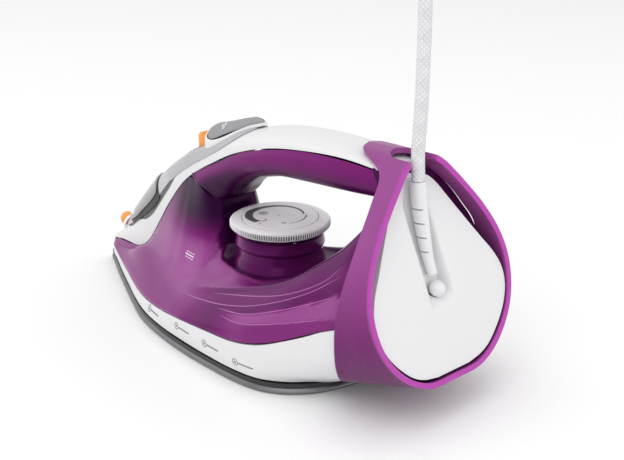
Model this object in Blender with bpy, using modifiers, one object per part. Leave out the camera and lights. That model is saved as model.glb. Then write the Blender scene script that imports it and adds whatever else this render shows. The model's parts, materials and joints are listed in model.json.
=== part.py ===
"""Self-contained steam iron with a translucent water tank, a closed handle and a heel ring.

Frame: +X points to the nose, +Y to the iron's left, +Z up. The origin is the bottom centre of the
iron's box, on the plane that the soleplate rests on. Sizes below are in millimetres.
"""
import math

import bmesh
import bpy
import numpy as np
from mathutils import Matrix, Vector

MM = 0.001
GAP = 0.35          # clearance between touching pieces
WALL = 1.8          # moulded shell thickness

# Soleplate and the layers on it
NOSE_X = 151.4      # tip of the soleplate
SOLE_TOP = 3.3
SHIELD_TOP = 6.2
SKIRT_BOTTOM = 7.2
CASTING_TOP = 10.0
POCKET_FLOOR = 6.0
FLOOR_Z = 21.0      # underside of the tank floor
FLOOR_THICK = 1.8

# Temperature dial
DIAL_X = -18.0
DIAL_R = 28.7
DIAL_TOP = 73.0
DIAL_BOTTOM = 66.4
COLLAR_R = 25.4
COLLAR_FLOOR = 45.4

# Heel ring: the plane of its rear lip is x = LIP_X + LIP_LEAN * z
LIP_X = -156.6
LIP_LEAN = 0.246
RING_WALL = 2.6
NOTCH_HALF = 9.5
NOTCH_FRONT = -105.0

# Filler door in the nose panel and the mouth below it
SLOPE = (-0.72, 0.70)           # direction up the nose slope, in (x, z)
DOOR_FRONT = 120.8
DOOR_REAR = 105.2
DOOR = (113.2, 0.0, 47.8)
DOOR_LONG = 25.0
DOOR_WIDE = 8.8
LID_PIVOT = np.array([121.85, 0.0, 38.9])
MOUTH = (113.0, 0.0, 47.2)
MOUTH_LONG = 17.0
MOUTH_WIDE = 7.4

# Keys, hinged at their rear tips
KEY_PIVOT = (-5.5, 0.0, 126.6)
KEY_TRAVEL = math.radians(4.0)

# Cord: the swivel's centre, then the strain relief's axis as (z, x, y, radius)
PIVOT = (-136.0, 0.0, 66.0)
BALL_R = 7.0
BOOT = [
    (72.9, -133.0, 0.4, 2.5), (77.0, -131.2, 0.6, 2.7), (84.0, -129.0, 1.0, 3.1),
    (92.0, -127.2, 1.5, 3.6), (100.0, -125.7, 2.0, 4.0), (110.0, -124.4, 2.6, 4.2),
    (119.6, -123.7, 3.15, 4.2), (121.0, -123.6, 3.2, 3.9),
]
CORD_R = 3.5
CORD_ROUTE = [
    (-123.6, 3.2, 121.4), (-123.5, 3.3, 126.0), (-123.3, 3.4, 131.0), (-123.3, 3.5, 137.0),
    (-123.6, 3.5, 143.0), (-124.0, 3.5, 149.0), (-124.4, 3.5, 156.0), (-124.6, 3.5, 163.0),
    (-124.8, 3.5, 170.0), (-124.9, 3.5, 177.0), (-125.0, 3.5, 184.0), (-125.0, 3.5, 191.0),
    (-125.0, 3.5, 198.0), (-125.0, 3.5, 205.0), (-125.0, 3.5, 212.0), (-125.0, 3.5, 219.0),
    (-125.0, 3.5, 225.6),
]

# Half width of the soleplate outline, as (x, y) from the nose to the rear centre
SOLE_OUTLINE = [
    (NOSE_X, 0.0), (149.6, 2.2), (144.0, 5.0), (125.0, 15.0), (106.0, 24.4), (88.0, 33.1),
    (71.0, 41.2), (53.5, 48.4), (35.0, 53.3), (16.0, 56.7), (-3.0, 58.8), (-23.0, 59.8),
    (-42.0, 60.0), (-55.0, 58.9), (-65.0, 56.2), (-73.0, 51.6), (-80.5, 44.6), (-87.0, 34.9),
    (-92.2, 19.0), (-94.2, 0.0),
]

# Skirt, one row for each station from the heel ring to the nose: bottom edge to top edge
SKIRT_STATIONS = [
    [(-98, 27, 9.2), (-106, 39.8, 18), (-110.3, 47.4, 32), (-113.6, 50.2, 51)],
    [(-91, 32, 7.4), (-99.5, 42, 17), (-103.5, 49.2, 30), (-104, 51.4, 47)],
    [(-84, 38.2, SKIRT_BOTTOM), (-91, 46.2, 15.5), (-94, 51.2, 27), (-94, 52.6, 41.6)],
    [(-75, 48.0, SKIRT_BOTTOM), (-79, 52.2, 14.5), (-81, 54.6, 24.5), (-81, 54.8, 35.3)],
    [(-62, 56.0, SKIRT_BOTTOM), (-63.5, 57.6, 13.5), (-64, 58.3, 21), (-64, 58.4, 28.2)],
    [(-45, 58.8, SKIRT_BOTTOM), (-45.5, 59.9, 12.5), (-46, 60.2, 18.5), (-46, 60, 24.2)],
    [(-22, 58.6, SKIRT_BOTTOM), (-22, 59.4, 12), (-22, 59.4, 17), (-22, 59, 22)],
    [(5, 56.6, SKIRT_BOTTOM), (5, 57.2, 11.2), (5, 57.2, 15.4), (5, 56.8, 19.5)],
    [(28, 53.6, SKIRT_BOTTOM), (28, 53.7, 10.4), (28, 53.2, 13.4), (28, 52.3, 16.3)],
    [(50, 48.3, SKIRT_BOTTOM), (50, 48.2, 9.6), (50, 47.5, 12), (50, 46.6, 14.1)],
    [(71, 40, SKIRT_BOTTOM), (71, 39.9, 9), (71, 39.3, 11), (71, 38.6, 12.6)],
    [(92, 30, SKIRT_BOTTOM), (92, 29.8, 8.8), (92, 29.3, 10.3), (92, 28.6, 11.7)],
    [(112, 20.4, SKIRT_BOTTOM), (112, 20.3, 8.6), (112, 20, 9.9), (112, 19.4, 11)],
    [(130, 11.3, SKIRT_BOTTOM), (130, 11.2, 8.4), (129.9, 11, 9.4), (129.8, 10.6, 10.3)],
    [(143, 4.9, SKIRT_BOTTOM), (142.9, 4.8, 8.2), (142.7, 4.6, 9.1), (142.4, 4.4, 9.9)],
    [(150.3, 0, SKIRT_BOTTOM), (150.1, 0, 8.1), (149.7, 0, 8.9), (149.2, 0, 9.6)],
]

# Tank in front of the finger opening, one row for each station from the nose rearwards:
# skirt seam, flank, shoulder crease, foot of the column, column flank, upper seam
TANK_FRONT = [
    [(149.3, 0, 10.1), (148.9, 0, 11.3), (148.5, 0, 12.5), (148.1, 0, 13.5),
     (147.7, 0, 14.5), (147.2, 0, 15.3)],
    [(146.4, 2.5, 10.2), (146.1, 2.4, 11.4), (145.8, 2.3, 12.5), (145.5, 2.2, 13.6),
     (145.2, 2.1, 14.4), (144.9, 2.0, 15.2)],
    [(136, 7.9, 10.6), (135.6, 6.8, 12.2), (135.3, 5.6, 13.5), (135.1, 4.9, 14.3),
     (135.0, 4.5, 14.8), (135.0, 4.3, 15.3)],
    [(120, 15.7, 11.1), (119, 13.0, 14.8), (118, 10.2, 17.4), (117, 8.8, 18.2),
     (116.2, 8.0, 18.6), (115.4, 7.6, 19.3)],
    [(102, 24.2, 11.8), (101.5, 20, 18), (101, 15.5, 23.6), (100.5, 13.2, 25.2),
     (99.8, 11.4, 26.4), (99.6, 10.4, 28.3)],
    [(86, 31.9, 12.3), (86, 27, 19.2), (86, 21.5, 25.2), (86, 17.5, 28.5),
     (86, 14, 35), (85.6, 11.4, 44.4)],
    [(71, 38.6, 13.0), (71, 33.5, 20), (71, 27.5, 25.6), (71, 22.5, 30),
     (71, 17, 44), (70.6, 12.1, 64.0)],
    [(56, 44.4, 14.2), (56, 39, 20.8), (56, 33, 26.2), (56, 27, 31.5),
     (56, 20, 52), (55.7, 12.8, 80.0)],
    [(48, 47.0, 14.9), (48, 41.6, 21.4), (48, 35.5, 26.9), (48, 29, 32.4),
     (48, 21.2, 54), (47, 13.3, 87.4)],
    [(42, 48.9, 15.3), (42, 43.6, 22), (42, 37.4, 27.6), (42, 30.5, 33.5),
     (42, 22, 56), (42, 14.8, 87.2)],
    [(28, 52.3, 16.7), (28, 47.4, 23.6), (28, 40.6, 29.6), (28, 33, 36),
     (28, 22.5, 56), (28, 17.8, 81.6)],
    [(18, 54.5, 18.2), (18, 49.8, 25.2), (18, 42.4, 31.8), (18, 33.5, 38.5),
     (18, 20.5, 56), (18, 16.5, 77.8)],
    [(13.5, 55.4, 18.8), (13.5, 50.8, 26), (13.5, 43.2, 33), (13.5, 33, 40),
     (13.5, 15.5, 51), (13.5, 12.5, 76.3)],
]

# Tank around and behind the dial, from the column rearwards:
# skirt seam, flank, shoulder crease, ledge, bowl rim, bowl foot, centre line
TANK_REAR = [
    [(13.5, 55.4, 18.8), (13.5, 50.8, 26), (13.5, 43.2, 33), (13.5, 33, 40),
     (13.5, 15.5, 51), (13.5, 8, 50.5), (13.5, 0, 50.5)],
    [(5, 56.8, 19.9), (5, 52.4, 27.2), (5, 44.2, 35), (5, 36, 40.5),
     (4, 27.5, 46), (4, 20, 43.2), (4, 0, 42.6)],
    [(-8, 58, 21.1), (-8, 54, 28.8), (-8, 45.2, 38), (-9, 39, 42),
     (-10, 31, 44), (-10, 26, 42), (-10, 0, 42)],
    [(-22, 59, 22.4), (-22, 55.2, 31), (-22, 45.8, 41.5), (-23, 41, 44.8),
     (-24, 34.5, 45.6), (-24, 29, 42), (-24, 0, 42)],
    [(-38, 59.8, 24.0), (-38, 56, 33.5), (-38, 46, 45.8), (-38.5, 42, 48.6),
     (-39, 37, 49), (-39, 31, 43), (-39, 0, 42.2)],
    [(-55, 59.3, 26.8), (-55, 55.8, 37.5), (-55, 46, 51.5), (-55.5, 42.5, 54.4),
     (-56, 38.5, 55), (-56, 31, 48), (-56, 0, 44)],
    [(-72, 56.8, 32.2), (-72, 54, 43.5), (-72, 45.5, 58.8), (-72.5, 42.2, 62),
     (-73, 38.6, 62.8), (-73, 31, 57), (-73, 0, 52)],
    [(-88, 53.6, 39.6), (-88, 51.2, 51.5), (-88, 43.6, 67), (-88, 40.4, 70.4),
     (-88, 36.8, 71.6), (-88, 30, 66), (-88, 0, 62)],
    [(-101, 51.5, 46.2), (-101, 49.4, 59), (-101, 41, 76.5), (-101, 37.6, 80.4),
     (-101, 34, 82), (-101, 28, 78), (-101, 0, 76)],
    [(-112, 49.6, 51.4), (-112, 48.6, 66), (-111.5, 38.8, 88), (-111, 35, 92.5),
     (-110.5, 31, 94.5), (-110, 25, 94), (-110, 0, 94)],
    [(-121, 47.8, 56.8), (-120.6, 47.6, 72), (-117, 35.5, 97), (-116, 31, 101.5),
     (-114, 27, 103.5), (-113, 20, 104), (-113, 0, 104)],
]

# Lower handle shell, from its seam with the tank over the finger opening to the heel:
# cover seam, upper side, side, lower side, palm edge, centre line
HANDLE_STATIONS = [
    [(44.8, 13.6, 89.1), (36, 16.6, 85.6), (24, 17.6, 80.8), (16.5, 15.8, 77.9),
     (13.5, 8.5, 76.8), (13.3, 0, 76.8)],
    [(42.5, 13.4, 91.0), (32, 16.6, 88), (19, 17.6, 82.8), (10, 15.4, 78.6),
     (6, 8.5, 76.9), (5.6, 0, 76.8)],
    [(34, 13.6, 95.9), (24, 16.6, 91.5), (12, 17.4, 86), (3.5, 14.6, 81.0),
     (-0.6, 8.3, 78.2), (-1.2, 0, 77.9)],
    [(26, 14.0, 100.1), (17, 16.8, 95.5), (7.5, 17.4, 90), (0, 14.6, 86),
     (-3.8, 8.2, 83.8), (-4.6, 0, 83.3)],
    [(16, 14.4, 105.0), (9, 17, 100.2), (3, 17.4, 95), (-2.6, 14.6, 91),
     (-6.0, 8.3, 89), (-6.8, 0, 88.4)],
    [(4.6, 15.0, 110.6), (0, 17.2, 106), (-4, 17.6, 101.3), (-8.5, 14.8, 97.2),
     (-11.6, 8.6, 95.2), (-12.2, 0, 94.4)],
    [(-8, 15.5, 115.5), (-11, 17.6, 110.8), (-14, 17.8, 106), (-17.5, 15, 101.8),
     (-19.6, 8.8, 99.6), (-20, 0, 98.8)],
    [(-23.5, 16, 119.8), (-25.5, 17.8, 114.8), (-27.5, 17.8, 109.6), (-29.5, 15, 105),
     (-31, 8.8, 102.4), (-31.4, 0, 101.6)],
    [(-52, 16, 123.0), (-52, 17.8, 117.6), (-52, 17.8, 112), (-52, 15, 107.3),
     (-52, 8.8, 104.3), (-52, 0, 103.4)],
    [(-84, 15.6, 125.0), (-84, 17.4, 119.4), (-84, 17.4, 113.9), (-84, 14.6, 109.4),
     (-84, 8.6, 106.6), (-84, 0, 105.7)],
    [(-110, 13.0, 123.4), (-110, 14.8, 119.2), (-110, 14.8, 114.8), (-110, 12.6, 111),
     (-110, 7.4, 108.6), (-110, 0, 107.8)],
]

# White cover from the nose tip over the handle: seam (x, y, z), then crest (x, z)
COVER_LINES = [
    ((145.6, 2.0, 16.2), (147.0, 17.0)), ((138.0, 3.9, 16.0), (142.8, 19.3)),
    ((130.0, 5.3, 17.2), (136.6, 23.4)), ((120.0, 7.1, 19.2), (129.6, 29.6)),
    ((112.0, 8.3, 21.8), (124.4, 35.2)), ((104.0, 9.7, 25.8), (118.3, 41.4)),
    ((97.0, 10.7, 31.4), (111.6, 48.8)), ((86.0, 11.4, 45.6), (99.4, 61.8)),
    ((71.0, 12.2, 65.1), (83.0, 77.4)), ((56.0, 12.9, 80.9), (63.4, 91.4)),
    ((46.0, 13.3, 89.1), (51.6, 98.4)), ((36.0, 13.8, 95.2), (40.6, 103.6)),
    ((26.0, 14.2, 101.0), (30.4, 108.8)), ((4.6, 15.0, 111.4), (7.8, 118.8)),
    ((-23.5, 16.0, 120.6), (-22.2, 127.4)), ((-52.0, 16.0, 123.7), (-51.8, 130.4)),
    ((-84.0, 15.6, 125.7), (-84.0, 129.7)), ((-110.0, 13.0, 124.1), (-110.0, 127.1)),
]
COVER_POWER = 2.3       # roundness of the cover's cross-section

# Heel ring, matched points from the top centre down the left side to the bottom centre
RING_FRONT = [
    (-86.5, 0, 132.8), (-89.5, 7.4, 131.9), (-100, 13.0, 129.3), (-111, 17.8, 124.3),
    (-116.5, 29.5, 112.8), (-119, 38.5, 101.5), (-121, 47.8, 88), (-119, 53, 70.5),
    (-115, 52.3, 53), (-111.6, 48.4, 32), (-107.8, 40.6, 17.8), (-101.5, 24, 11.6),
    (-99, 0, 11.0),
]
RING_REAR = [
    (0, 133.5), (8.6, 132.4), (15.0, 128.4), (21, 122.5), (30, 112.5), (39, 101.5),
    (48.5, 86), (53, 71), (52.2, 55), (46, 41), (33, 28), (19, 21.8), (0, 21),
]
# Rear cover outline, (half width, height) from the top centre to the bottom centre
REAR_COVER_OUTLINE = [
    (0, 121.6), (8.5, 120.6), (15, 115.5), (21.5, 107.0), (27.5, 98.5), (33.5, 90), (39.5, 81.5),
    (45.2, 73.5), (48.8, 65), (48.8, 56), (44.6, 45.6), (36.5, 36), (27.5, 29.0), (16, 25.4),
    (0, 24.8),
]

PARTS = None
CUTTERS = None


def clear_scene():
    """Remove every object, then add the collections for the parts and the cutters."""
    for old in list(bpy.data.objects):
        bpy.data.objects.remove(old, do_unlink=True)
    for old in list(bpy.data.collections):
        bpy.data.collections.remove(old)
    parts = bpy.data.collections.new("steam_iron")
    cutters = bpy.data.collections.new("cutters")
    for collection in (parts, cutters):
        bpy.context.scene.collection.children.link(collection)
    return parts, cutters


def material(name, colour, roughness, metallic=0.0):
    """Principled material, made once for each name."""
    if name in bpy.data.materials:
        return bpy.data.materials[name]
    made = bpy.data.materials.new(name)
    made.use_nodes = True
    shader = made.node_tree.nodes["Principled BSDF"]
    shader.inputs["Base Color"].default_value = (*colour, 1.0)
    shader.inputs["Roughness"].default_value = roughness
    shader.inputs["Metallic"].default_value = metallic
    return made


def finish(kind):
    """Materials of the iron, by the name of their finish."""
    table = {
        "white": ((0.86, 0.86, 0.87), 0.3, 0.0),
        "purple": ((0.30, 0.05, 0.27), 0.22, 0.0),
        "tank": ((0.33, 0.08, 0.30), 0.12, 0.0),
        "grey": ((0.42, 0.42, 0.43), 0.4, 0.0),
        "pale": ((0.72, 0.70, 0.73), 0.35, 0.0),
        "orange": ((0.90, 0.36, 0.06), 0.35, 0.0),
        "black": ((0.015, 0.015, 0.016), 0.35, 0.0),
        "clear": ((0.75, 0.77, 0.78), 0.1, 0.0),
        "sole": ((0.55, 0.55, 0.56), 0.3, 1.0),
        "aluminium": ((0.62, 0.62, 0.62), 0.5, 1.0),
        "steel": ((0.55, 0.55, 0.56), 0.3, 1.0),
        "brass": ((0.72, 0.52, 0.2), 0.35, 1.0),
        "rubber": ((0.16, 0.16, 0.17), 0.7, 0.0),
        "textile": ((0.80, 0.80, 0.80), 0.85, 0.0),
        "copper": ((0.65, 0.30, 0.12), 0.5, 0.0),
    }
    colour, roughness, metallic = table[kind]
    return material(kind, colour, roughness, metallic)


def place(name, mesh, kind, collection=None):
    """Object for a mesh, in the parts collection unless another is given."""
    made = bpy.data.objects.new(name, mesh)
    (collection or PARTS).objects.link(made)
    if collection is CUTTERS:
        made.hide_render = True
        made.display_type = "WIRE"
    if kind:
        mesh.materials.append(finish(kind))
    return made


def mesh_from_bmesh(name, shape, smooth_angle=None):
    """Mesh datablock from a bmesh, shaded smooth below the given angle in degrees."""
    mesh = bpy.data.meshes.new(name)
    shape.to_mesh(mesh)
    shape.free()
    if smooth_angle:
        mesh.shade_smooth()
        mesh.set_sharp_from_angle(angle=math.radians(smooth_angle))
    return mesh


def spline(points, steps, closed=False):
    """Centripetal Catmull-Rom curve through the points, with steps samples for each span."""
    points = np.asarray(points, float)
    if closed:
        padded = np.vstack([points[-1], points, points[0], points[1]])
    else:
        padded = np.vstack([2 * points[0] - points[1], points, 2 * points[-1] - points[-2]])
    out = []
    for i in range(1, len(padded) - 2):
        p0, p1, p2, p3 = padded[i - 1:i + 3]
        t0 = 0.0
        t1 = t0 + max(np.linalg.norm(p1 - p0), 1e-6) ** 0.5
        t2 = t1 + max(np.linalg.norm(p2 - p1), 1e-6) ** 0.5
        t3 = t2 + max(np.linalg.norm(p3 - p2), 1e-6) ** 0.5
        for k in range(steps):
            t = t1 + (t2 - t1) * k / steps
            a1 = (t1 - t) / (t1 - t0) * p0 + (t - t0) / (t1 - t0) * p1
            a2 = (t2 - t) / (t2 - t1) * p1 + (t - t1) / (t2 - t1) * p2
            a3 = (t3 - t) / (t3 - t2) * p2 + (t - t2) / (t3 - t2) * p3
            b1 = (t2 - t) / (t2 - t0) * a1 + (t - t0) / (t2 - t0) * a2
            b2 = (t3 - t) / (t3 - t1) * a2 + (t - t1) / (t3 - t1) * a3
            out.append((t2 - t) / (t2 - t1) * b1 + (t - t1) / (t2 - t1) * b2)
    if not closed:
        out.append(points[-1])
    return np.array(out)


def net(stations, along, across):
    """Grid of points through a net of stations, smooth in both directions."""
    rows = np.array([spline(station, across) for station in stations])
    return np.stack([spline(rows[:, j], along) for j in range(rows.shape[1])], axis=1)


def with_lip(row, height=1.1):
    """Row of points with a short upright lip added after its first point."""
    x, y, z = row[0]
    return [row[0], (x, y, z + height)] + list(row[1:])


def patch(left, bottom, right, top):
    """Coons patch between four matched edges; left and right run up, bottom and top run across."""
    nv = len(left)
    nu = len(bottom)
    s = np.linspace(0, 1, nu)[None, :, None]
    t = np.linspace(0, 1, nv)[:, None, None]
    ruled_u = (1 - s) * left[:, None] + s * right[:, None]
    ruled_v = (1 - t) * bottom[None] + t * top[None]
    corners = ((1 - s) * (1 - t) * left[0] + s * (1 - t) * right[0]
               + (1 - s) * t * left[-1] + s * t * right[-1])
    return ruled_u + ruled_v - corners


def add_grid(shape, grid, wrap=False):
    """Add a grid of quads to a bmesh; wrap joins the last row to the first."""
    verts = [[shape.verts.new(Vector(point) * MM) for point in row] for row in grid]
    count = len(verts)
    for i in range(count if wrap else count - 1):
        a = verts[i]
        b = verts[(i + 1) % count]
        for j in range(len(a) - 1):
            shape.faces.new((a[j], b[j], b[j + 1], a[j + 1]))


def sheet(name, grids, kind, thickness, inside, both_sides=True, wrap=False, angle=40):
    """Shell from grids of the left half, mirrored to the right and thickened inwards."""
    shape = bmesh.new()
    for grid in grids:
        add_grid(shape, grid, wrap)
        if both_sides:
            add_grid(shape, grid * np.array([1, -1, 1]), wrap)
    bmesh.ops.remove_doubles(shape, verts=shape.verts, dist=0.02 * MM)
    bmesh.ops.dissolve_degenerate(shape, edges=shape.edges, dist=0.02 * MM)
    bmesh.ops.recalc_face_normals(shape, faces=shape.faces)
    centre = Vector(inside) * MM
    facing = sum(face.normal.dot(face.calc_center_median() - centre) * face.calc_area()
                 for face in shape.faces)
    if facing < 0:
        bmesh.ops.reverse_faces(shape, faces=shape.faces)
    made = place(name, mesh_from_bmesh(name, shape, angle), kind)
    solid = made.modifiers.new("wall", "SOLIDIFY")
    solid.thickness = thickness * MM
    solid.offset = -1.0
    solid.use_even_offset = True
    solid.thickness_clamp = 0.0
    return made


def stack(name, loops, kind, collection=None, angle=30):
    """Closed solid through a stack of matched closed loops, capped with strips of quads.

    Each loop has an even number of points, and the strips join point i to point -i.
    """
    shape = bmesh.new()
    rings = [[shape.verts.new(Vector(point) * MM) for point in loop] for loop in loops]
    count = len(rings[0])
    for lower, upper in zip(rings, rings[1:]):
        for j in range(count):
            k = (j + 1) % count
            shape.faces.new((lower[j], lower[k], upper[k], upper[j]))
    for ring in (rings[0], rings[-1]):
        shape.faces.new((ring[0], ring[1], ring[-1]))
        for j in range(1, count // 2 - 1):
            shape.faces.new((ring[j], ring[j + 1], ring[-j - 1], ring[-j]))
        j = count // 2
        shape.faces.new((ring[j - 1], ring[j], ring[j + 1]))
    bmesh.ops.recalc_face_normals(shape, faces=shape.faces)
    return place(name, mesh_from_bmesh(name, shape, angle), kind, collection)


def tube_of_loops(name, loops, kind, angle=30):
    """Closed ring-shaped solid through matched closed loops, the last joined to the first."""
    shape = bmesh.new()
    rings = [[shape.verts.new(Vector(point) * MM) for point in loop] for loop in loops]
    count = len(rings[0])
    for i, lower in enumerate(rings):
        upper = rings[(i + 1) % len(rings)]
        for j in range(count):
            k = (j + 1) % count
            shape.faces.new((lower[j], lower[k], upper[k], upper[j]))
    bmesh.ops.recalc_face_normals(shape, faces=shape.faces)
    return place(name, mesh_from_bmesh(name, shape, angle), kind)


def box(name, low, high, kind, bevel=0.0, collection=None):
    """Axis-aligned box between two corners."""
    low = Vector(low) * MM
    high = Vector(high) * MM
    shape = bmesh.new()
    bmesh.ops.create_cube(shape, size=1.0)
    size = high - low
    bmesh.ops.scale(shape, vec=size, verts=shape.verts)
    bmesh.ops.translate(shape, vec=(low + high) / 2, verts=shape.verts)
    made = place(name, mesh_from_bmesh(name, shape), kind, collection)
    if bevel:
        edge = made.modifiers.new("bevel", "BEVEL")
        edge.width = bevel * MM
        edge.segments = 1
    return made


def turned(name, profile, kind, at, direction=(0, 0, 1), sides=32, hollow=False,
           collection=None):
    """Turned solid: profile of (radius, height) down the outer side, placed on its axis."""
    shape = bmesh.new()
    verts = [shape.verts.new((r * MM, 0, z * MM)) for r, z in profile]
    for a, b in zip(verts, verts[1:]):
        shape.edges.new((a, b))
    if hollow:
        shape.edges.new((verts[-1], verts[0]))
    mesh = mesh_from_bmesh(name, shape)
    made = place(name, mesh, kind, collection)
    made.location = Vector(at) * MM
    turn = Vector((0, 0, 1)).rotation_difference(Vector(direction).normalized())
    made.rotation_euler = turn.to_euler()
    screw = made.modifiers.new("turn", "SCREW")
    screw.steps = sides
    screw.render_steps = sides
    screw.use_merge_vertices = True
    screw.merge_threshold = 0.00001
    screw.use_smooth_shade = True
    return made


def rod(name, radius, bottom, top, kind, sides=20, collection=None):
    """Cylinder between two points."""
    bottom = Vector(bottom)
    top = Vector(top)
    length = (top - bottom).length
    return turned(name, [(0, length), (radius, length), (radius, 0), (0, 0)], kind,
                  bottom, top - bottom, sides, collection=collection)


def wire(name, points, radius, kind, resolution=2):
    """Round wire or tube along the points."""
    curve = bpy.data.curves.new(name, "CURVE")
    curve.dimensions = "3D"
    curve.bevel_depth = radius * MM
    curve.bevel_resolution = resolution
    curve.use_fill_caps = True
    line = curve.splines.new("POLY")
    line.points.add(len(points) - 1)
    for target, point in zip(line.points, points):
        target.co = (*[value * MM for value in point], 1.0)
    made = bpy.data.objects.new(name, curve)
    PARTS.objects.link(made)
    curve.materials.append(finish(kind))
    return made


def spring(name, at, radius, length, turns, gauge, kind="steel"):
    """Open coil spring standing on the point at, along +Z."""
    per_turn = 9
    count = turns * per_turn
    points = []
    for i in range(count + 1):
        angle = 2 * math.pi * i / per_turn
        points.append((at[0] + radius * math.cos(angle), at[1] + radius * math.sin(angle),
                       at[2] + gauge + (length - 2 * gauge) * i / count))
    return wire(name, points, gauge, kind, resolution=1)


def cut(target, cutter):
    """Subtract a cutter with the exact solver."""
    difference = target.modifiers.new("cut_" + cutter.name, "BOOLEAN")
    difference.operation = "DIFFERENCE"
    difference.solver = "EXACT"
    difference.object = cutter


def mirrored_loop(half, column=1):
    """Closed loop from a half outline that starts and ends on the mid plane."""
    half = np.asarray(half, float)
    other = half[-2:0:-1].copy()
    other[:, column] *= -1
    return np.vstack([half, other])


def half_width(x):
    """Half width of the soleplate outline at x."""
    table = sorted(SOLE_OUTLINE[:-1])
    return float(np.interp(x, [p[0] for p in table], [p[1] for p in table]))


def sole_loop(inset, z, steps=2):
    """Soleplate outline, moved inwards by inset, at height z."""
    half = spline(SOLE_OUTLINE, steps)
    loop = mirrored_loop(half)
    ahead = np.roll(loop, -1, axis=0) - np.roll(loop, 1, axis=0)
    normal = np.stack([-ahead[:, 1], ahead[:, 0]], axis=1)
    normal /= np.linalg.norm(normal, axis=1)[:, None]
    centre = loop.mean(axis=0)
    flip = np.sign(((centre - loop) * normal).sum(axis=1).sum())
    moved = loop + flip * inset * normal
    return [(x, y, z) for x, y in moved]


def plate_loop(stations, z):
    """Closed loop at height z from (x, half width) stations, with straight ends."""
    left = [(x, y, z) for x, y in stations]
    right = [(x, -y, z) for x, y in reversed(stations)]
    ahead = math.copysign(1.5, stations[0][0] - stations[-1][0])
    return [(stations[0][0] + ahead, 0, z)] + left + [(stations[-1][0] - ahead, 0, z)] + right


def inner_stations(margin, front, rear, count):
    """Stations (x, half width) between two ends, inside the sole outline by margin."""
    return [(x, max(half_width(x) - margin, 3.0)) for x in np.linspace(front, rear, count)]


def lip_x(z):
    """X of the heel ring's rear plane at height z."""
    return LIP_X + LIP_LEAN * z


def cover_recess(z):
    """How far the rear cover's face lies in front of the ring's lip at height z."""
    t = min(max((z - 52.0) / 68.0, 0.0), 1.0)
    return 1.4 + 7.6 * t * t * (3 - 2 * t)


# ---------------------------------------------------------------- soleplate group

def build_sole():
    """Soleplate with steam holes, casting, chamber cover, element and heat shield."""
    profile = [(0.9, 0.0), (0.0, 0.8), (0.15, 1.9), (1.2, SOLE_TOP)]
    sole = stack("soleplate", [sole_loop(inset, z, 1) for inset, z in profile], "sole")
    holes = bmesh.new()
    for x, y in steam_hole_places():
        bmesh.ops.create_cone(holes, cap_ends=True, segments=8, radius1=1.5 * MM,
                              radius2=1.5 * MM, depth=8 * MM,
                              matrix=Matrix.Translation((x * MM, y * MM, SOLE_TOP / 2 * MM)))
    cutter = place("steam_hole_cutter", mesh_from_bmesh("steam_hole_cutter", holes), None,
                   CUTTERS)
    cut(sole, cutter)

    z0 = SOLE_TOP + GAP
    casting = inner_stations(11.0, 115.0, -76.0, 14)
    block = stack("heater_casting", [plate_loop(casting, z0), plate_loop(casting, CASTING_TOP)],
                  "aluminium")
    pocket = inner_stations(24.0, 88.0, -62.0, 8)
    pocket_cutter = stack("pocket_cutter",
                          [plate_loop(pocket, POCKET_FLOOR), plate_loop(pocket, 12.0)],
                          None, CUTTERS)
    cut(block, pocket_cutter)
    lid = inner_stations(21.5, 92.0, -65.0, 8)
    lid_z = CASTING_TOP + GAP
    stack("chamber_cover", [plate_loop(lid, lid_z), plate_loop(lid, lid_z + 1.6)], "aluminium")

    element = []
    for x in np.linspace(-58, 84, 9):
        element.append((x, half_width(x) - 17.0, CASTING_TOP + 3.4))
    element += [(97, 8.5, CASTING_TOP + 3.4), (101, 0, CASTING_TOP + 3.4)]
    element += [(x, -y, z) for x, y, z in element[-2::-1]]
    wire("heating_element", spline(element, 2), 3.0, "steel")

    shield = stack("heat_shield", [sole_loop(0.7, z0, 1), sole_loop(0.7, SHIELD_TOP, 1)], "black")
    opening = inner_stations(8.0, 124.0, -84.0, 14)
    cut(shield, stack("shield_cutter", [plate_loop(opening, 2.0), plate_loop(opening, 8.0)],
                      None, CUTTERS))


def steam_hole_places():
    """Steam outlets: a chevron of pairs behind the tip and a row along each side."""
    places = [(118, 0)]
    for i in range(4):
        places += [(104 - 13 * i, 5 + 6.2 * i), (104 - 13 * i, -5 - 6.2 * i)]
    for i in range(3):
        places += [(46 - 17 * i, 34 + 2.4 * i), (46 - 17 * i, -34 - 2.4 * i)]
    return places


# ---------------------------------------------------------------- body shells

def build_skirt():
    """White skirt around the heat shield, open at the heel."""
    sheet("skirt", [net(SKIRT_STATIONS, 1, 1)], "white", WALL, (0, 0, 15))


def build_tank():
    """Translucent tank shell, its floor and its seal."""
    front = net([with_lip(row) for row in TANK_FRONT], 1, 2)
    rear = net([with_lip(row) for row in TANK_REAR], 1, 2)
    corner = 10                      # column of both nets that meets the wall under the handle
    left = front[-1, corner:]
    bottom = rear[0, corner:]
    right = np.array([(13.5, 0, z) for z in left[:, 2]])
    right[0] = bottom[-1]
    top = np.linspace(left[-1], right[-1], len(bottom))
    wall = patch(left, bottom, right, top)
    sheet("water_tank", [front, rear, wall], "tank", WALL, (-10, 0, 25), angle=50)
    stations = [(82, 14), (60, 24), (40, 32), (20, 38), (0, 43), (-20, 47),
                (-40, 49), (-58, 47)]
    floor = stack("tank_floor", [plate_loop(stations, FLOOR_Z),
                                 plate_loop(stations, FLOOR_Z + FLOOR_THICK)], "purple")
    well = rod("well_cutter", 7.0, (DIAL_X, 0, 15), (DIAL_X, 0, 30), None, collection=CUTTERS)
    cut(floor, well)
    valve = rod("valve_cutter", 4.4, (48, 0, 15), (48, 0, 30), None, collection=CUTTERS)
    cut(floor, valve)


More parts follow.
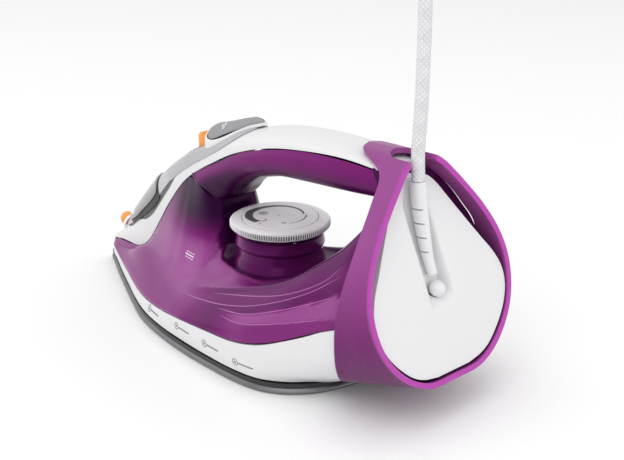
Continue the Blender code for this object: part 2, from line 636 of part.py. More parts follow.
def cover_frame(row, y, lift=0.0):
    """Point on the cover at a row (0 at the nose) and a y, raised by lift along its normal."""
    seams = [np.interp(row, range(len(COVER_LINES)), [line[0][k] for line in COVER_LINES])
             for k in range(3)]
    crest = [np.interp(row, range(len(COVER_LINES)), [line[1][k] for line in COVER_LINES])
             for k in range(2)]
    share = min(abs(y) / seams[1], 1.0)
    depth = (1 - share ** COVER_POWER) ** (1 / COVER_POWER)
    up = np.array([crest[0] - seams[0], 0.0, crest[1] - seams[2]])
    height = np.linalg.norm(up)
    slope = share ** (COVER_POWER - 1) * height / seams[1]
    normal = up / height + np.array([0, math.copysign(min(slope, 3.0), y) if y else 0.0, 0])
    normal /= np.linalg.norm(normal)
    base = np.array([seams[0], y, seams[2]]) + up * depth
    return base + normal * lift


def cover_grid():
    """Left half of the cover, from the seam to the crest."""
    rows = []
    for row in range(len(COVER_LINES)):
        width = COVER_LINES[row][0][1]
        shares = (1.0, 0.985, 0.93, 0.80, 0.55, 0.28, 0.0)
        rows.append([cover_frame(row, width * share) for share in shares])
    return np.array(rows)


def cover_row(x):
    """Row of the cover whose crest is at x."""
    crests = [-line[1][0] for line in COVER_LINES]
    return float(np.interp(-x, crests, range(len(crests))))


def strip(name, stations, kind, lift, thickness, columns=3, angle=40):
    """Strip lying on the cover's crest from stations of (crest x, half width)."""
    rows = []
    for x, half in stations:
        row = cover_row(x)
        rows.append([cover_frame(row, half * (1 - j / columns), lift + thickness)
                     for j in range(columns + 1)])
    return sheet(name, [np.array(rows)], kind, thickness, (0, 0, 0), angle=angle)


def build_handle():
    """Lower handle shell and the white cover over nose and handle."""
    sheet("handle_lower_shell", [net(HANDLE_STATIONS, 1, 2)], "purple", WALL, (-20, 0, 115),
          angle=50)
    cover = sheet("handle_cover", [cover_grid()], "white", WALL, (20, 0, 30), angle=50)
    cut(cover, oriented_box("filler_cutter", MOUTH, (MOUTH_LONG, MOUTH_WIDE, 12), None, CUTTERS))
    slot = box("slider_cutter", (43.9, -2.6, 90), (61.0, 2.6, 120), None, collection=CUTTERS)
    cut(cover, slot)
    cut(cover, key_well())


def ring_grid():
    """Outer surface of the heel ring, from the front edge to the rear lip."""
    rear = [(lip_x(z), y, z) for y, z in RING_REAR]
    rows = [np.array(RING_FRONT), None, np.array(rear)]
    rows[1] = (rows[0] + rows[2]) / 2
    rows[1][:, 1] *= 1.01
    return np.stack([spline(row, 2) for row in rows], axis=1)


def build_heel():
    """Heel ring with its cord notch, and the rear cover."""
    ring = sheet("heel_ring", [ring_grid()], "purple", RING_WALL, (-125, 0, 65), angle=50)
    front = NOTCH_FRONT - NOTCH_HALF
    end = rod("notch_end_cutter", NOTCH_HALF, (front, 0, 116), (front, 0, 142), None,
              collection=CUTTERS)
    cut(ring, end)
    run = box("notch_run_cutter", (-142, -NOTCH_HALF, 117), (front, NOTCH_HALF, 141), None,
              collection=CUTTERS)
    cut(ring, run)

    build_rear_cover()


def boot_axis(z):
    """X, Y and radius of the strain relief at height z, running on to the swivel below it."""
    table = [(PIVOT[2], PIVOT[0], PIVOT[1], 5.0)] + BOOT
    heights = [row[0] for row in table]
    return [float(np.interp(z, heights, [row[k] for row in table])) for k in (1, 2, 3)]


def rear_cover_row(z, count_edge=4):
    """Row of points across the rear cover at height z, with the channel for the strain relief."""
    heights = [p[1] for p in REAR_COVER_OUTLINE[::-1]]
    widths = [p[0] for p in REAR_COVER_OUTLINE[::-1]]
    half = max(float(np.interp(z, heights, widths)), 7.0)
    narrow = min(1.0, half / 20.0)
    axis_x, axis_y, radius = boot_axis(z)
    axis_y *= narrow
    face = lip_x(z) + cover_recess(z)
    depth = 0.0
    if 60.0 < z < 117.0:
        depth = max(0.0, axis_x + radius + 1.3 - face)
    row = []
    for side in (1, -1):
        edge = axis_y + side * 9.2 * narrow
        outer = [(edge + (side * half - edge) * (1 - j / count_edge)) for j in range(count_edge)]
        ys = outer + [edge, axis_y + side * 5.6 * narrow]
        row.append([(face + (depth if k == len(ys) - 1 else 0.0), y, z)
                    for k, y in enumerate(ys)])
    middle = [(face + depth, axis_y, z)]
    return row[0] + middle + row[1][::-1]


def build_rear_cover():
    """White rear cover, recessed in the ring, with the swivel socket and its channel."""
    levels = [25.2, 27.4, 31.5, 38, 46.5, 56, 61, 66, 70.5, 75, 80, 85, 90, 95, 101, 108, 114.5,
              119, 121.2]
    shape = bmesh.new()
    add_grid(shape, np.array([rear_cover_row(z) for z in levels]))
    bmesh.ops.recalc_face_normals(shape, faces=shape.faces)
    if sum(face.normal.x * face.calc_area() for face in shape.faces) > 0:
        bmesh.ops.reverse_faces(shape, faces=shape.faces)
    rim = [edge for edge in shape.edges if edge.is_boundary]
    grown = bmesh.ops.extrude_edge_only(shape, edges=rim)["geom"]
    moved = [part for part in grown if isinstance(part, bmesh.types.BMVert)]
    bmesh.ops.translate(shape, vec=(4.6 * MM, 0, 0), verts=moved)
    bmesh.ops.recalc_face_normals(shape, faces=shape.faces)
    if sum(face.normal.x * face.calc_area() for face in shape.faces) > 0:
        bmesh.ops.reverse_faces(shape, faces=shape.faces)
    cover = place("rear_cover", mesh_from_bmesh("rear_cover", shape, 40), "white")
    solid = cover.modifiers.new("wall", "SOLIDIFY")
    solid.thickness = WALL * MM
    solid.offset = -1.0
    solid.use_even_offset = True
    mouth = rod("socket_cutter", BALL_R + 0.7, (-152, 0, 67.5), (-122, 0, 64.5), None,
                collection=CUTTERS)
    cut(cover, mouth)


# ---------------------------------------------------------------- controls

def build_dial():
    """Dial, its top disc, shaft, collar and indicator."""
    turned("temperature_dial",
           [(3.6, -1.6), (22.0, -1.6), (22.0, -0.9), (27.6, -1.0), (DIAL_R, -2.6),
            (DIAL_R, -5.0), (27.4, DIAL_BOTTOM - DIAL_TOP), (3.6, DIAL_BOTTOM - DIAL_TOP)],
           "pale", (DIAL_X, 0, DIAL_TOP), sides=40, hollow=True)
    turned("dial_disc", [(0, 0), (21.6, 0), (21.6, -1.2), (0, -1.2)], "pale",
           (DIAL_X, 0, DIAL_TOP - 0.05), sides=36)
    turned("dial_collar", [(4.6, 65.8), (20.5, 65.8), (22.0, 64.4), (COLLAR_R, COLLAR_FLOOR),
                           (23.5, COLLAR_FLOOR), (20.2, 63.2), (4.6, 63.2)],
           "purple", (DIAL_X, 0, 0), sides=36, hollow=True)
    turned("thermostat_shaft", [(0, 71.2), (3.2, 71.2), (3.2, 22.0), (2.2, 22.0), (2.2, 20.4),
                                (0, 20.4)], "steel", (DIAL_X, 0, 0), sides=16)
    lens = DIAL_X - COLLAR_R - 6.5
    turned("indicator_lens", [(0, 3.2), (1.8, 2.8), (2.6, 1.6), (2.6, 0), (0, 0)], "clear",
           (lens, 9.5, 46.0), sides=16)
    cut(bpy.data.objects["water_tank"],
        rod("shaft_cutter", 4.6, (DIAL_X, 0, 36), (DIAL_X, 0, 48), None, collection=CUTTERS))


def build_thermostat():
    """Thermostat on the casting under the dial, with its fuse."""
    x = DIAL_X
    z = CASTING_TOP + GAP + 1.6 + GAP
    box("thermostat", (x - 13, -7, z), (x + 13, 7, z + 7.4), "steel", 0.8)
    rod("thermal_fuse", 2.4, (x - 34, 0, z + 2.8), (x - 20, 0, z + 2.8), "steel", 14)


def oriented_box(name, at, size, kind, collection=None, along=SLOPE):
    """Box centred on a point; its length runs up the nose slope and its height is normal to it."""
    along = Vector((along[0], 0, along[1])).normalized()
    across = Vector((0, 1, 0))
    normal = along.cross(across) * -1
    if normal.z < 0:
        normal = -normal
    shape = bmesh.new()
    bmesh.ops.create_cube(shape, size=1.0)
    bmesh.ops.scale(shape, vec=Vector(size) * MM, verts=shape.verts)
    turn = Matrix((along, across, normal)).transposed()
    if turn.determinant() < 0:
        turn = Matrix((along, -across, normal)).transposed()
    bmesh.ops.rotate(shape, matrix=turn, verts=shape.verts)
    bmesh.ops.translate(shape, vec=Vector(at) * MM, verts=shape.verts)
    return place(name, mesh_from_bmesh(name, shape), kind, collection)


def build_nose():
    """Nose panel with its filler door, the neck below it, and the spray nozzle."""
    leaf = [(127.0, 2.6), (125.2, 5.4), (121.5, 7.0), (114.0, 7.8), (104.0, 8.2), (94.0, 8.0),
            (84.0, 7.0), (74.0, 5.0), (67.0, 2.8)]
    panel = strip("nose_panel", leaf, "clear", 0.4, 1.1)
    window = oriented_box("window_cutter", DOOR, (DOOR_LONG + 1.2, DOOR_WIDE + 2.4, 12), None,
                          CUTTERS)
    cut(panel, window)
    rows = []
    for x in np.linspace(DOOR_FRONT, DOOR_REAR, 5):
        row = cover_row(x)
        rows.append([cover_frame(row, DOOR_WIDE / 2 * share, 1.5) for share in (1, 0.6, 0.3, 0)])
    sheet("filler_lid", [np.array(rows)], "grey", 1.1, (0, 0, 0))

    rod("lid_pin", 0.7, LID_PIVOT - np.array([0, 4.4, 0]), LID_PIVOT + np.array([0, 4.4, 0]),
        "steel", 12)

    along = np.array([SLOPE[0], 0, SLOPE[1]]) / math.hypot(*SLOPE)
    normal = np.array([SLOPE[1], 0, -SLOPE[0]]) / math.hypot(*SLOPE)
    loops = []
    for half_long, half_wide, depth in (
            (MOUTH_LONG / 2 - 0.5, MOUTH_WIDE / 2 - 0.5, -2.2),
            (MOUTH_LONG / 2 - 0.5, MOUTH_WIDE / 2 - 0.5, -13.0),
            (MOUTH_LONG / 2 - 1.7, MOUTH_WIDE / 2 - 1.6, -13.0),
            (MOUTH_LONG / 2 - 1.7, MOUTH_WIDE / 2 - 1.6, -2.2)):
        loop = []
        for a, b in ((-1, 1), (1, 1), (1, -1), (-1, -1)):
            point = (np.array(MOUTH) + along * a * half_long + normal * depth
                     + np.array([0, b * half_wide, 0]))
            loop.append(tuple(point))
        loops.append(loop)
    tube_of_loops("filler_neck", loops, "clear")

    nose = Vector((1.0, 0, 0.35)).normalized()
    ball = Vector((131.4, 0, 32.2))
    turned("spray_nozzle", [(0, 4.3), (1.6, 4.0), (3.1, 3.0), (4.0, 1.5), (4.2, 0), (3.6, -2.2),
                            (2.2, -3.2), (0, -3.2)], "orange", ball, nose, sides=20)
    for host in (panel, bpy.data.objects["handle_cover"]):
        name = "nozzle_cutter_" + host.name
        cut(host, rod(name, 4.9, ball - nose * 14, ball + nose * 2.4, None, 24, CUTTERS))
    seat = ball - nose * 3.6
    turned("nozzle_socket", [(0, 0), (3.0, 0), (4.4, -1.4), (4.4, -2.6), (0, -2.6)], "pale",
           seat, nose, sides=20)


def key_outline(margin=0.0):
    """Teardrop of the keys, (x, y), blunt in front and pointed behind."""
    half = [(43.6, 0), (42.8, 4.6), (40.0, 8.3), (35.2, 10.3), (28.5, 10.2), (20.0, 8.4),
            (10.0, 5.6), (1.0, 3.1), (-5.4, 1.3), (-6.8, 0)]
    loop = mirrored_loop(spline(half, 2))
    centre = np.array([20.0, 0.0])
    span = np.array([25.0, 10.3])
    return [tuple(centre + (np.array(p) - centre) * (1 - margin / span)) for p in loop]


def key_z(x):
    """Height of the keys' rim at x."""
    return float(np.interp(x, [-7, 2, 12, 24, 36, 44], [127.6, 125.9, 123.0, 119.0, 115.4, 113.6]))


def key_well():
    """Cutter that opens the cover under the keys."""
    outline = [(x, y) for x, y in key_outline(2.6) if x > 2.0]
    left = sorted([(x, y) for x, y in outline if y > 0.01], reverse=True)
    loop = [(left[0][0] + 1.0, 0)] + left + [(left[-1][0] - 0.8, 0)]
    loop += [(x, -y) for x, y in reversed(left)]
    return stack("key_well_cutter", [[(x, y, 90) for x, y in loop],
                                     [(x, y, 132) for x, y in loop]], None, CUTTERS)


def build_controls():
    """Control panel, slider, button pod and the two keys."""
    stations = [(66.0, 7.2), (60.0, 9.0), (51.6, 10.9), (40.6, 11.8), (30.4, 11.6),
                (19.0, 10.2), (7.8, 8.0), (-1.0, 5.2), (-8.0, 2.6)]
    panel = strip("control_panel", stations, "pale", 0.4, 1.0)
    cut(panel, bpy.data.objects["slider_cutter"])
    cut(panel, bpy.data.objects["key_well_cutter"])

    outer = key_outline(-0.9)
    inner = key_outline(0.4)
    floor = [pod_floor(x, y) for x, y in outer]
    inner_floor = [pod_floor(x, y) for x, y in inner]
    tube_of_loops("button_pod", [
        [(x, y, z) for (x, y), z in zip(outer, floor)],
        [(x, y, key_z(x) - 1.6) for x, y in outer],
        [(x, y, key_z(x) - 1.2) for x, y in key_outline(-0.6)],
        [(x, y, key_z(x) - 1.3) for x, y in inner],
        [(x, y, z) for (x, y), z in zip(inner, inner_floor)]], "white")
    for name, side in (("spray_key", 1), ("burst_key", -1)):
        loops = []
        for margin, rise in ((1.2, -3.0), (1.2, -0.2), (1.8, 0.5), (4.0, 1.3), (7.2, 1.8)):
            half = [p for p in key_outline(margin) if p[1] * side > -0.001]
            half = sorted(half, key=lambda p: -p[0])
            loop = []
            for x, y in half:
                lowest = pod_floor(x, 0) + 0.6 + KEY_TRAVEL * (x - KEY_PIVOT[0])
                loop.append((x, (abs(y) + 0.2) * side, max(key_z(x) + rise, lowest)))
            loops.append(loop)
        key_block(name, loops)

    corners = [(52.4, 0), (52.2, 2.0), (45.2, 2.0), (45.0, 0), (45.2, -2.0), (52.2, -2.0)]
    stack("steam_slider", [[(x, y, base - 0.36 * (x - 45.0)) for x, y in corners]
                           for base in (98.6, 111.0)], "orange")


def pod_floor(x, y):
    """Height just above the control panel at (x, y)."""
    best = None
    for row in np.linspace(cover_row(56.0), cover_row(-12.0), 60):
        point = cover_frame(row, y if abs(y) < 11.9 else math.copysign(11.9, y), 2.2)
        if best is None or abs(point[0] - x) < abs(best[0] - x):
            best = point
    return float(best[2])


def key_block(name, loops):
    """Solid through matched open loops whose ends lie on the split between the keys."""
    shape = bmesh.new()
    rings = [[shape.verts.new(Vector(point) * MM) for point in loop] for loop in loops]
    count = len(rings[0])
    for lower, upper in zip(rings, rings[1:]):
        for j in range(count):
            k = (j + 1) % count
            shape.faces.new((lower[j], lower[k], upper[k], upper[j]))
    shape.faces.new(rings[0])
    shape.faces.new(rings[-1])
    bmesh.ops.recalc_face_normals(shape, faces=shape.faces)
    return place(name, mesh_from_bmesh(name, shape, 50), "grey")


# ---------------------------------------------------------------- inside

def build_water_system():
    """Drip valve, pumps and hoses."""
    seat_z = FLOOR_Z + FLOOR_THICK + GAP
    turned("drip_valve_seat", [(1.4, seat_z + 2.6), (6.4, seat_z + 2.6), (6.4, seat_z + 1.4),
                               (4.0, seat_z + 1.0), (4.0, 12.4), (1.4, 12.4)],
           "pale", (48, 0, 0), sides=20, hollow=True)
    turned("drip_valve_seal", [(4.4, seat_z + 0.8), (6.2, seat_z + 0.8), (6.2, seat_z),
                               (4.4, seat_z)], "rubber", (48, 0, 0), sides=20, hollow=True)
    turned("drip_needle", [(0, 88.0), (1.6, 88.0), (1.6, 84.0), (0.9, 83.0), (0.9, 19.0),
                           (0, 17.6)], "steel", (48, 0, 0), sides=12)
    for name, side in (("spray", 1), ("burst", -1)):
        at = (30.0, 4.8 * side, 0)
        turned(name + "_pump_barrel", [(0, 76.0), (2.6, 76.0), (2.6, 92.0), (4.1, 92.0),
                                       (4.1, 74.0), (2.4, 72.0), (0, 72.0)],
               "pale", at, sides=18)
        turned(name + "_pump_piston", [(0, 113.2), (2.3, 113.2), (2.3, 111.9), (1.2, 111.5),
                                       (1.2, 88.0), (2.2, 87.6), (2.2, 84.0), (0, 84.0)],
               "pale", at, sides=16)
        spring(name + "_pump_spring", (30.0, 4.8 * side, 92.3), 1.9, 18.9, 6, 0.35)
    wire("spray_hose", spline([(30, 4.8, 71.4), (30, 4.8, 60), (36, 4.5, 46), (52, 4.5, 37),
                               (78, 4.5, 33), (104, 2.5, 29), (120.6, 0, 28.6)], 3), 1.5,
         "clear", 1)
    wire("burst_hose", spline([(30, -4.8, 71.4), (30, -4.8, 58), (30, -6, 44), (28, -8, 33),
                               (26, -9, 23.5)], 3), 1.5, "clear", 1)


def build_electrics():
    """Leads, terminals, lamp, screws and the frame behind the rear cover."""
    outline = mirrored_loop(spline(REAR_COVER_OUTLINE, 1), column=0)
    middle = np.array([0.0, 66.0])
    loops = []
    for depth in (5.8, 7.4):
        loop = middle + (outline - middle) * 0.9
        loops.append([(lip_x(z) + cover_recess(z) + depth, y, z) for y, z in loop])
    frame = stack("rear_frame", loops, "purple")
    cut(frame, box("frame_hole_cutter", (-145, -11.0, 55.5), (-108, 12.5, 104), None,
                   collection=CUTTERS))
    box("terminal_block", (-135.0, -10, 32), (-123, 10, 44), "white", 0.8)
    box("cord_clamp", (-126.5, -8, 50), (-119, 8, 55), "grey", 0.8)
    for name, y, end in (("live_lead", -6, (-33.5, -3.0, 17.4)),
                         ("neutral_lead", 0, (-54.0, 0.0, 15.2)),
                         ("earth_lead", 6, (-60, 17, 14.0))):
        start = (-122.4, y, 38)
        wire(name, spline([start, (-114, y, 37), (-100, y * 1.2, 28), (-84, y * 1.2, 20),
                           (-70, y * 1.2 + end[1] / 3, 17.6), end], 2), 1.1, "rubber", 1)
    for name, side in (("left", 1), ("right", -1)):
        y = (half_width(-58) - 17.0) * side
        rod("element_pin_" + name, 1.4, (-69.5, y * 0.97, CASTING_TOP + 3.4),
            (-59.4, y, CASTING_TOP + 3.4), "steel", 10)
    rod("indicator_lamp", 1.7, (-51.0, 9.5, 33.0), (-51.0, 9.5, 40.0), "clear", 12)
    for name, x, y in (("front", 110, 0), ("left", -72, 24), ("right", -72, -24)):
        turned("casting_screw_" + name, [(0, 2.6), (3.0, 2.6), (3.4, 2.0), (3.4, 0), (0, 0)],
               "steel", (x, y, CASTING_TOP + GAP), sides=14)


def build_cord():
    """Swivel ball, strain relief, cord and mains plug."""
    pivot = Vector(PIVOT)
    axis = (Vector((BOOT[1][1], BOOT[1][2], BOOT[1][0])) - pivot).normalized()
    ball = []
    for i in range(9):
        angle = math.pi * i / 9
        ball.append((BALL_R * math.sin(angle), BALL_R * math.cos(angle)))
    ball.append((0, -BALL_R))
    turned("cord_swivel", ball, "white", pivot, axis, sides=20)
    loops = []
    for i, (z, x, y, radius) in enumerate(BOOT):
        before = BOOT[max(i - 1, 0)]
        after = BOOT[min(i + 1, len(BOOT) - 1)]
        run = Vector((after[1] - before[1], after[2] - before[2], after[0] - before[0]))
        turn = Vector((0, 0, 1)).rotation_difference(run.normalized())
        loop = []
        for k in range(16):
            angle = 2 * math.pi * k / 16
            offset = turn @ Vector((radius * math.cos(angle), radius * math.sin(angle), 0))
            loop.append(Vector((x, y, z)) + offset)
        loops.append(loop)
    stack("strain_relief", loops, "white", angle=50)
    wire("power_cord", CORD_ROUTE, CORD_R, "textile", 2)
    top = Vector(CORD_ROUTE[-1])
    turned("plug_body", [(0, 36), (13.5, 36), (16.5, 33), (16.5, 22), (12, 14), (6.5, 8),
                         (5.2, 0.4), (0, 0.4)], "white", top, sides=24)
    for name, side in (("left", 1), ("right", -1)):
        turned("plug_pin_" + name, [(0, 19), (1.6, 18.4), (2.4, 17), (2.4, 0), (0, 0)], "steel",
               top + Vector((0, 9.5 * side, 36.4)), sides=12)


def hang(name, point, children):
    """Empty on a joint's axis, with the moving pieces parented to it where they are."""
    pivot = bpy.data.objects.new(name, None)
    pivot.location = Vector(point) * MM
    PARTS.objects.link(pivot)
    for child in children:
        moving = bpy.data.objects[child]
        moving.parent = pivot
        moving.matrix_parent_inverse = Matrix.Translation(-Vector(point) * MM)


def hang_moving_pieces():
    """Put the keys, the filler door and the cord on the axes of their hinges."""
    hang("spray_pivot", KEY_PIVOT, ["spray_key"])
    hang("burst_pivot", KEY_PIVOT, ["burst_key"])
    hang("lid_pivot", LID_PIVOT, ["filler_lid"])
    hang("cord_pivot", PIVOT, ["cord_swivel", "strain_relief", "power_cord", "plug_body",
                               "plug_pin_left", "plug_pin_right"])


if __name__ == "__main__":
    PARTS, CUTTERS = clear_scene()
    build_sole()
    build_skirt()
    build_tank()
    build_handle()
    build_heel()
    build_dial()
    build_thermostat()
    build_nose()
    build_controls()
    build_water_system()
    build_electrics()
    build_cord()
    hang_moving_pieces()
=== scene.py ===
"""Steam iron on a plain pale floor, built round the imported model.

+X points to the nose, +Y to the iron's left and +Z up. Tables and sizes are in millimetres, and
every mesh is made in metres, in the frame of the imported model.
"""
import json
import math

import bmesh
import bpy
import numpy as np
from mathutils import Matrix, Vector
from mathutils.bvhtree import BVHTree


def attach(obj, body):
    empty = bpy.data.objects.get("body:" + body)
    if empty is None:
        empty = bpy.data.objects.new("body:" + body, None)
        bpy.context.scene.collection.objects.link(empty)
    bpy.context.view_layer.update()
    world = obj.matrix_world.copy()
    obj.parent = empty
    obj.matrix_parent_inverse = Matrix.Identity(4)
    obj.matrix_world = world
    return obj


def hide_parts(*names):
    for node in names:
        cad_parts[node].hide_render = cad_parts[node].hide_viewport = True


MM = 0.001
WALL = 1.8              # moulded shell thickness
RING_WALL = 2.9         # thickness of the heel ring at its lip

# Soleplate and the layers on it
NOSE_X = 151.4
SOLE_TOP = 3.3
SHIELD_BOTTOM = 3.65
SHIELD_TOP = 6.2
SKIRT_BOTTOM = 7.2

# Temperature dial
DIAL_X = -18.0
DIAL_R = 28.7
DIAL_TOP = 73.9
DIAL_DEPTH = 5.8
DIAL_TEETH = 128
COLLAR_R = 25.4
COLLAR_FLOOR = 45.4

# Heel ring: the plane of its rear lip is x = LIP_X + LIP_LEAN * z
LIP_X = -156.6
LIP_LEAN = 0.246
NOTCH_HALF = 9.5
NOTCH_FRONT = -105.0

# Filler door in the nose panel, as crest x, and the mouth below it
DOOR_FRONT = 120.8
DOOR_REAR = 105.2
DOOR_HALF = 4.4
DOOR = (113.2, 0.0, 47.8)
MOUTH = (113.0, 0.0, 47.2)
SLOPE = (-0.72, 0.70)

# Swivel, then the strain relief's axis as (z, x, y, radius), then the cord
PIVOT = (-136.0, 0.0, 66.0)
KNOB_R = 4.2            # visible end of the swivel
BOOT = [
    (72.9, -133.0, 0.4, 2.5), (77.0, -131.2, 0.6, 2.7), (84.0, -129.0, 1.0, 3.1),
    (92.0, -127.2, 1.5, 3.6), (100.0, -125.7, 2.0, 4.0), (110.0, -124.4, 2.6, 4.2),
    (119.6, -123.7, 3.15, 4.2), (121.0, -123.6, 3.2, 3.9),
]
CORD_R = 3.5
CORD_ROUTE = [
    (-123.6, 3.2, 121.4), (-123.5, 3.3, 126.0), (-123.3, 3.4, 131.0), (-123.3, 3.5, 137.0),
    (-123.6, 3.5, 143.0), (-124.0, 3.5, 149.0), (-124.4, 3.5, 156.0), (-124.6, 3.5, 163.0),
    (-124.8, 3.5, 170.0), (-124.9, 3.5, 177.0), (-125.0, 3.5, 184.0), (-125.0, 3.5, 191.0),
    (-125.0, 3.5, 198.0), (-125.0, 3.5, 205.0), (-125.0, 3.5, 212.0), (-125.0, 3.5, 219.0),
    (-125.0, 3.5, 225.6),
]

# Half width of the soleplate outline, as (x, y) from the nose to the rear centre
SOLE_OUTLINE = [
    (NOSE_X, 0.0), (149.6, 2.2), (144.0, 5.0), (125.0, 15.0), (106.0, 24.4), (88.0, 33.1),
    (71.0, 41.2), (53.5, 48.4), (35.0, 53.3), (16.0, 56.7), (-3.0, 58.8), (-23.0, 59.8),
    (-42.0, 60.0), (-55.0, 58.9), (-65.0, 56.2), (-73.0, 51.6), (-80.5, 44.6), (-87.0, 34.9),
    (-92.2, 19.0), (-94.2, 0.0),
]

# Skirt, one row for each station from the heel ring to the nose: bottom edge to top edge
SKIRT_STATIONS = [
    [(-98, 27, 9.2), (-106, 39.8, 18), (-110.3, 47.4, 32), (-113.6, 50.2, 51)],
    [(-91, 32, 7.4), (-99.5, 42, 17), (-103.5, 49.2, 30), (-104, 51.4, 47)],
    [(-84, 38.2, SKIRT_BOTTOM), (-91, 46.2, 15.5), (-94, 51.2, 27), (-94, 52.6, 41.6)],
    [(-75, 48.0, SKIRT_BOTTOM), (-79, 52.2, 14.5), (-81, 54.6, 24.5), (-81, 54.8, 35.3)],
    [(-62, 56.0, SKIRT_BOTTOM), (-63.5, 57.6, 13.5), (-64, 58.3, 21), (-64, 58.4, 28.2)],
    [(-45, 58.8, SKIRT_BOTTOM), (-45.5, 59.9, 12.5), (-46, 60.2, 18.5), (-46, 60, 24.2)],
    [(-22, 58.6, SKIRT_BOTTOM), (-22, 59.4, 12), (-22, 59.4, 17), (-22, 59, 22)],
    [(5, 56.6, SKIRT_BOTTOM), (5, 57.2, 11.2), (5, 57.2, 15.4), (5, 56.8, 19.5)],
    [(28, 53.6, SKIRT_BOTTOM), (28, 53.7, 10.4), (28, 53.2, 13.4), (28, 52.3, 16.3)],
    [(50, 48.3, SKIRT_BOTTOM), (50, 48.2, 9.6), (50, 47.5, 12), (50, 46.6, 14.1)],
    [(71, 40, SKIRT_BOTTOM), (71, 39.9, 9), (71, 39.3, 11), (71, 38.6, 12.6)],
    [(92, 30, SKIRT_BOTTOM), (92, 29.8, 8.8), (92, 29.3, 10.3), (92, 28.6, 11.7)],
    [(112, 20.4, SKIRT_BOTTOM), (112, 20.3, 8.6), (112, 20, 9.9), (112, 19.4, 11)],
    [(130, 11.3, SKIRT_BOTTOM), (130, 11.2, 8.4), (129.9, 11, 9.4), (129.8, 10.6, 10.3)],
    [(143, 4.9, SKIRT_BOTTOM), (142.9, 4.8, 8.2), (142.7, 4.6, 9.1), (142.4, 4.4, 9.9)],
    [(150.3, 0, SKIRT_BOTTOM), (150.1, 0, 8.1), (149.7, 0, 8.9), (149.2, 0, 9.6)],
]

# Tank in front of the finger opening, one row for each station from the nose rearwards:
# skirt seam, flank, shoulder crease, foot of the column, column flank, upper seam
TANK_FRONT = [
    [(149.3, 0, 10.1), (148.9, 0, 11.3), (148.5, 0, 12.5), (148.1, 0, 13.5),
     (147.7, 0, 14.5), (147.2, 0, 15.3)],
    [(146.4, 2.5, 10.2), (146.1, 2.4, 11.4), (145.8, 2.3, 12.5), (145.5, 2.2, 13.6),
     (145.2, 2.1, 14.4), (144.9, 2.0, 15.2)],
    [(136, 7.9, 10.6), (135.6, 6.8, 12.2), (135.3, 5.6, 13.5), (135.1, 4.9, 14.3),
     (135.0, 4.6, 15.4), (135.0, 4.5, 18.0)],
    [(120, 15.7, 11.1), (119, 13.0, 14.8), (118, 10.2, 17.4), (117, 8.8, 18.2),
     (116.2, 8.0, 19.0), (115.4, 7.7, 20.5)],
    [(102, 24.2, 11.8), (101.5, 20, 18), (101, 15.5, 23.6), (100.5, 13.2, 25.2),
     (99.0, 11.6, 25.8), (97.9, 10.4, 27.2)],
    [(86, 31.9, 12.3), (86, 27, 19.2), (86, 21.5, 25.2), (86, 17.5, 28.5),
     (86, 14, 35), (82.1, 11.7, 44.7)],
    [(71, 38.6, 13.0), (71, 33.5, 20), (71, 27.5, 25.6), (71, 22.5, 30),
     (71, 17, 44), (69.5, 12.3, 61.2)],
    [(56, 44.4, 14.2), (56, 39, 20.8), (56, 33, 26.2), (56, 27, 31.5),
     (56, 20, 52), (54.2, 12.9, 78.3)],
    [(48, 47.0, 14.9), (48, 41.6, 21.4), (48, 35.5, 26.9), (48, 29, 32.4),
     (48, 21.2, 54), (46.3, 13.4, 84.6)],
    [(42, 48.9, 15.3), (42, 43.6, 22), (42, 37.4, 27.6), (42, 30.5, 33.5),
     (42, 22, 56), (42, 14.5, 84.9)],
    [(28, 52.3, 16.7), (28, 47.4, 23.6), (28, 40.6, 29.6), (28, 33, 36),
     (28, 22.5, 56), (28, 17.8, 81.6)],
    [(18, 54.5, 18.2), (18, 49.8, 25.2), (18, 42.4, 31.8), (18, 33.5, 38.5),
     (18, 20.5, 56), (21, 15.6, 77.6)],
    [(13.5, 55.4, 18.8), (13.5, 50.8, 26), (13.5, 43.2, 33), (13.5, 33, 40),
     (13.5, 15.5, 51), (17.6, 12.2, 76.3)],
]

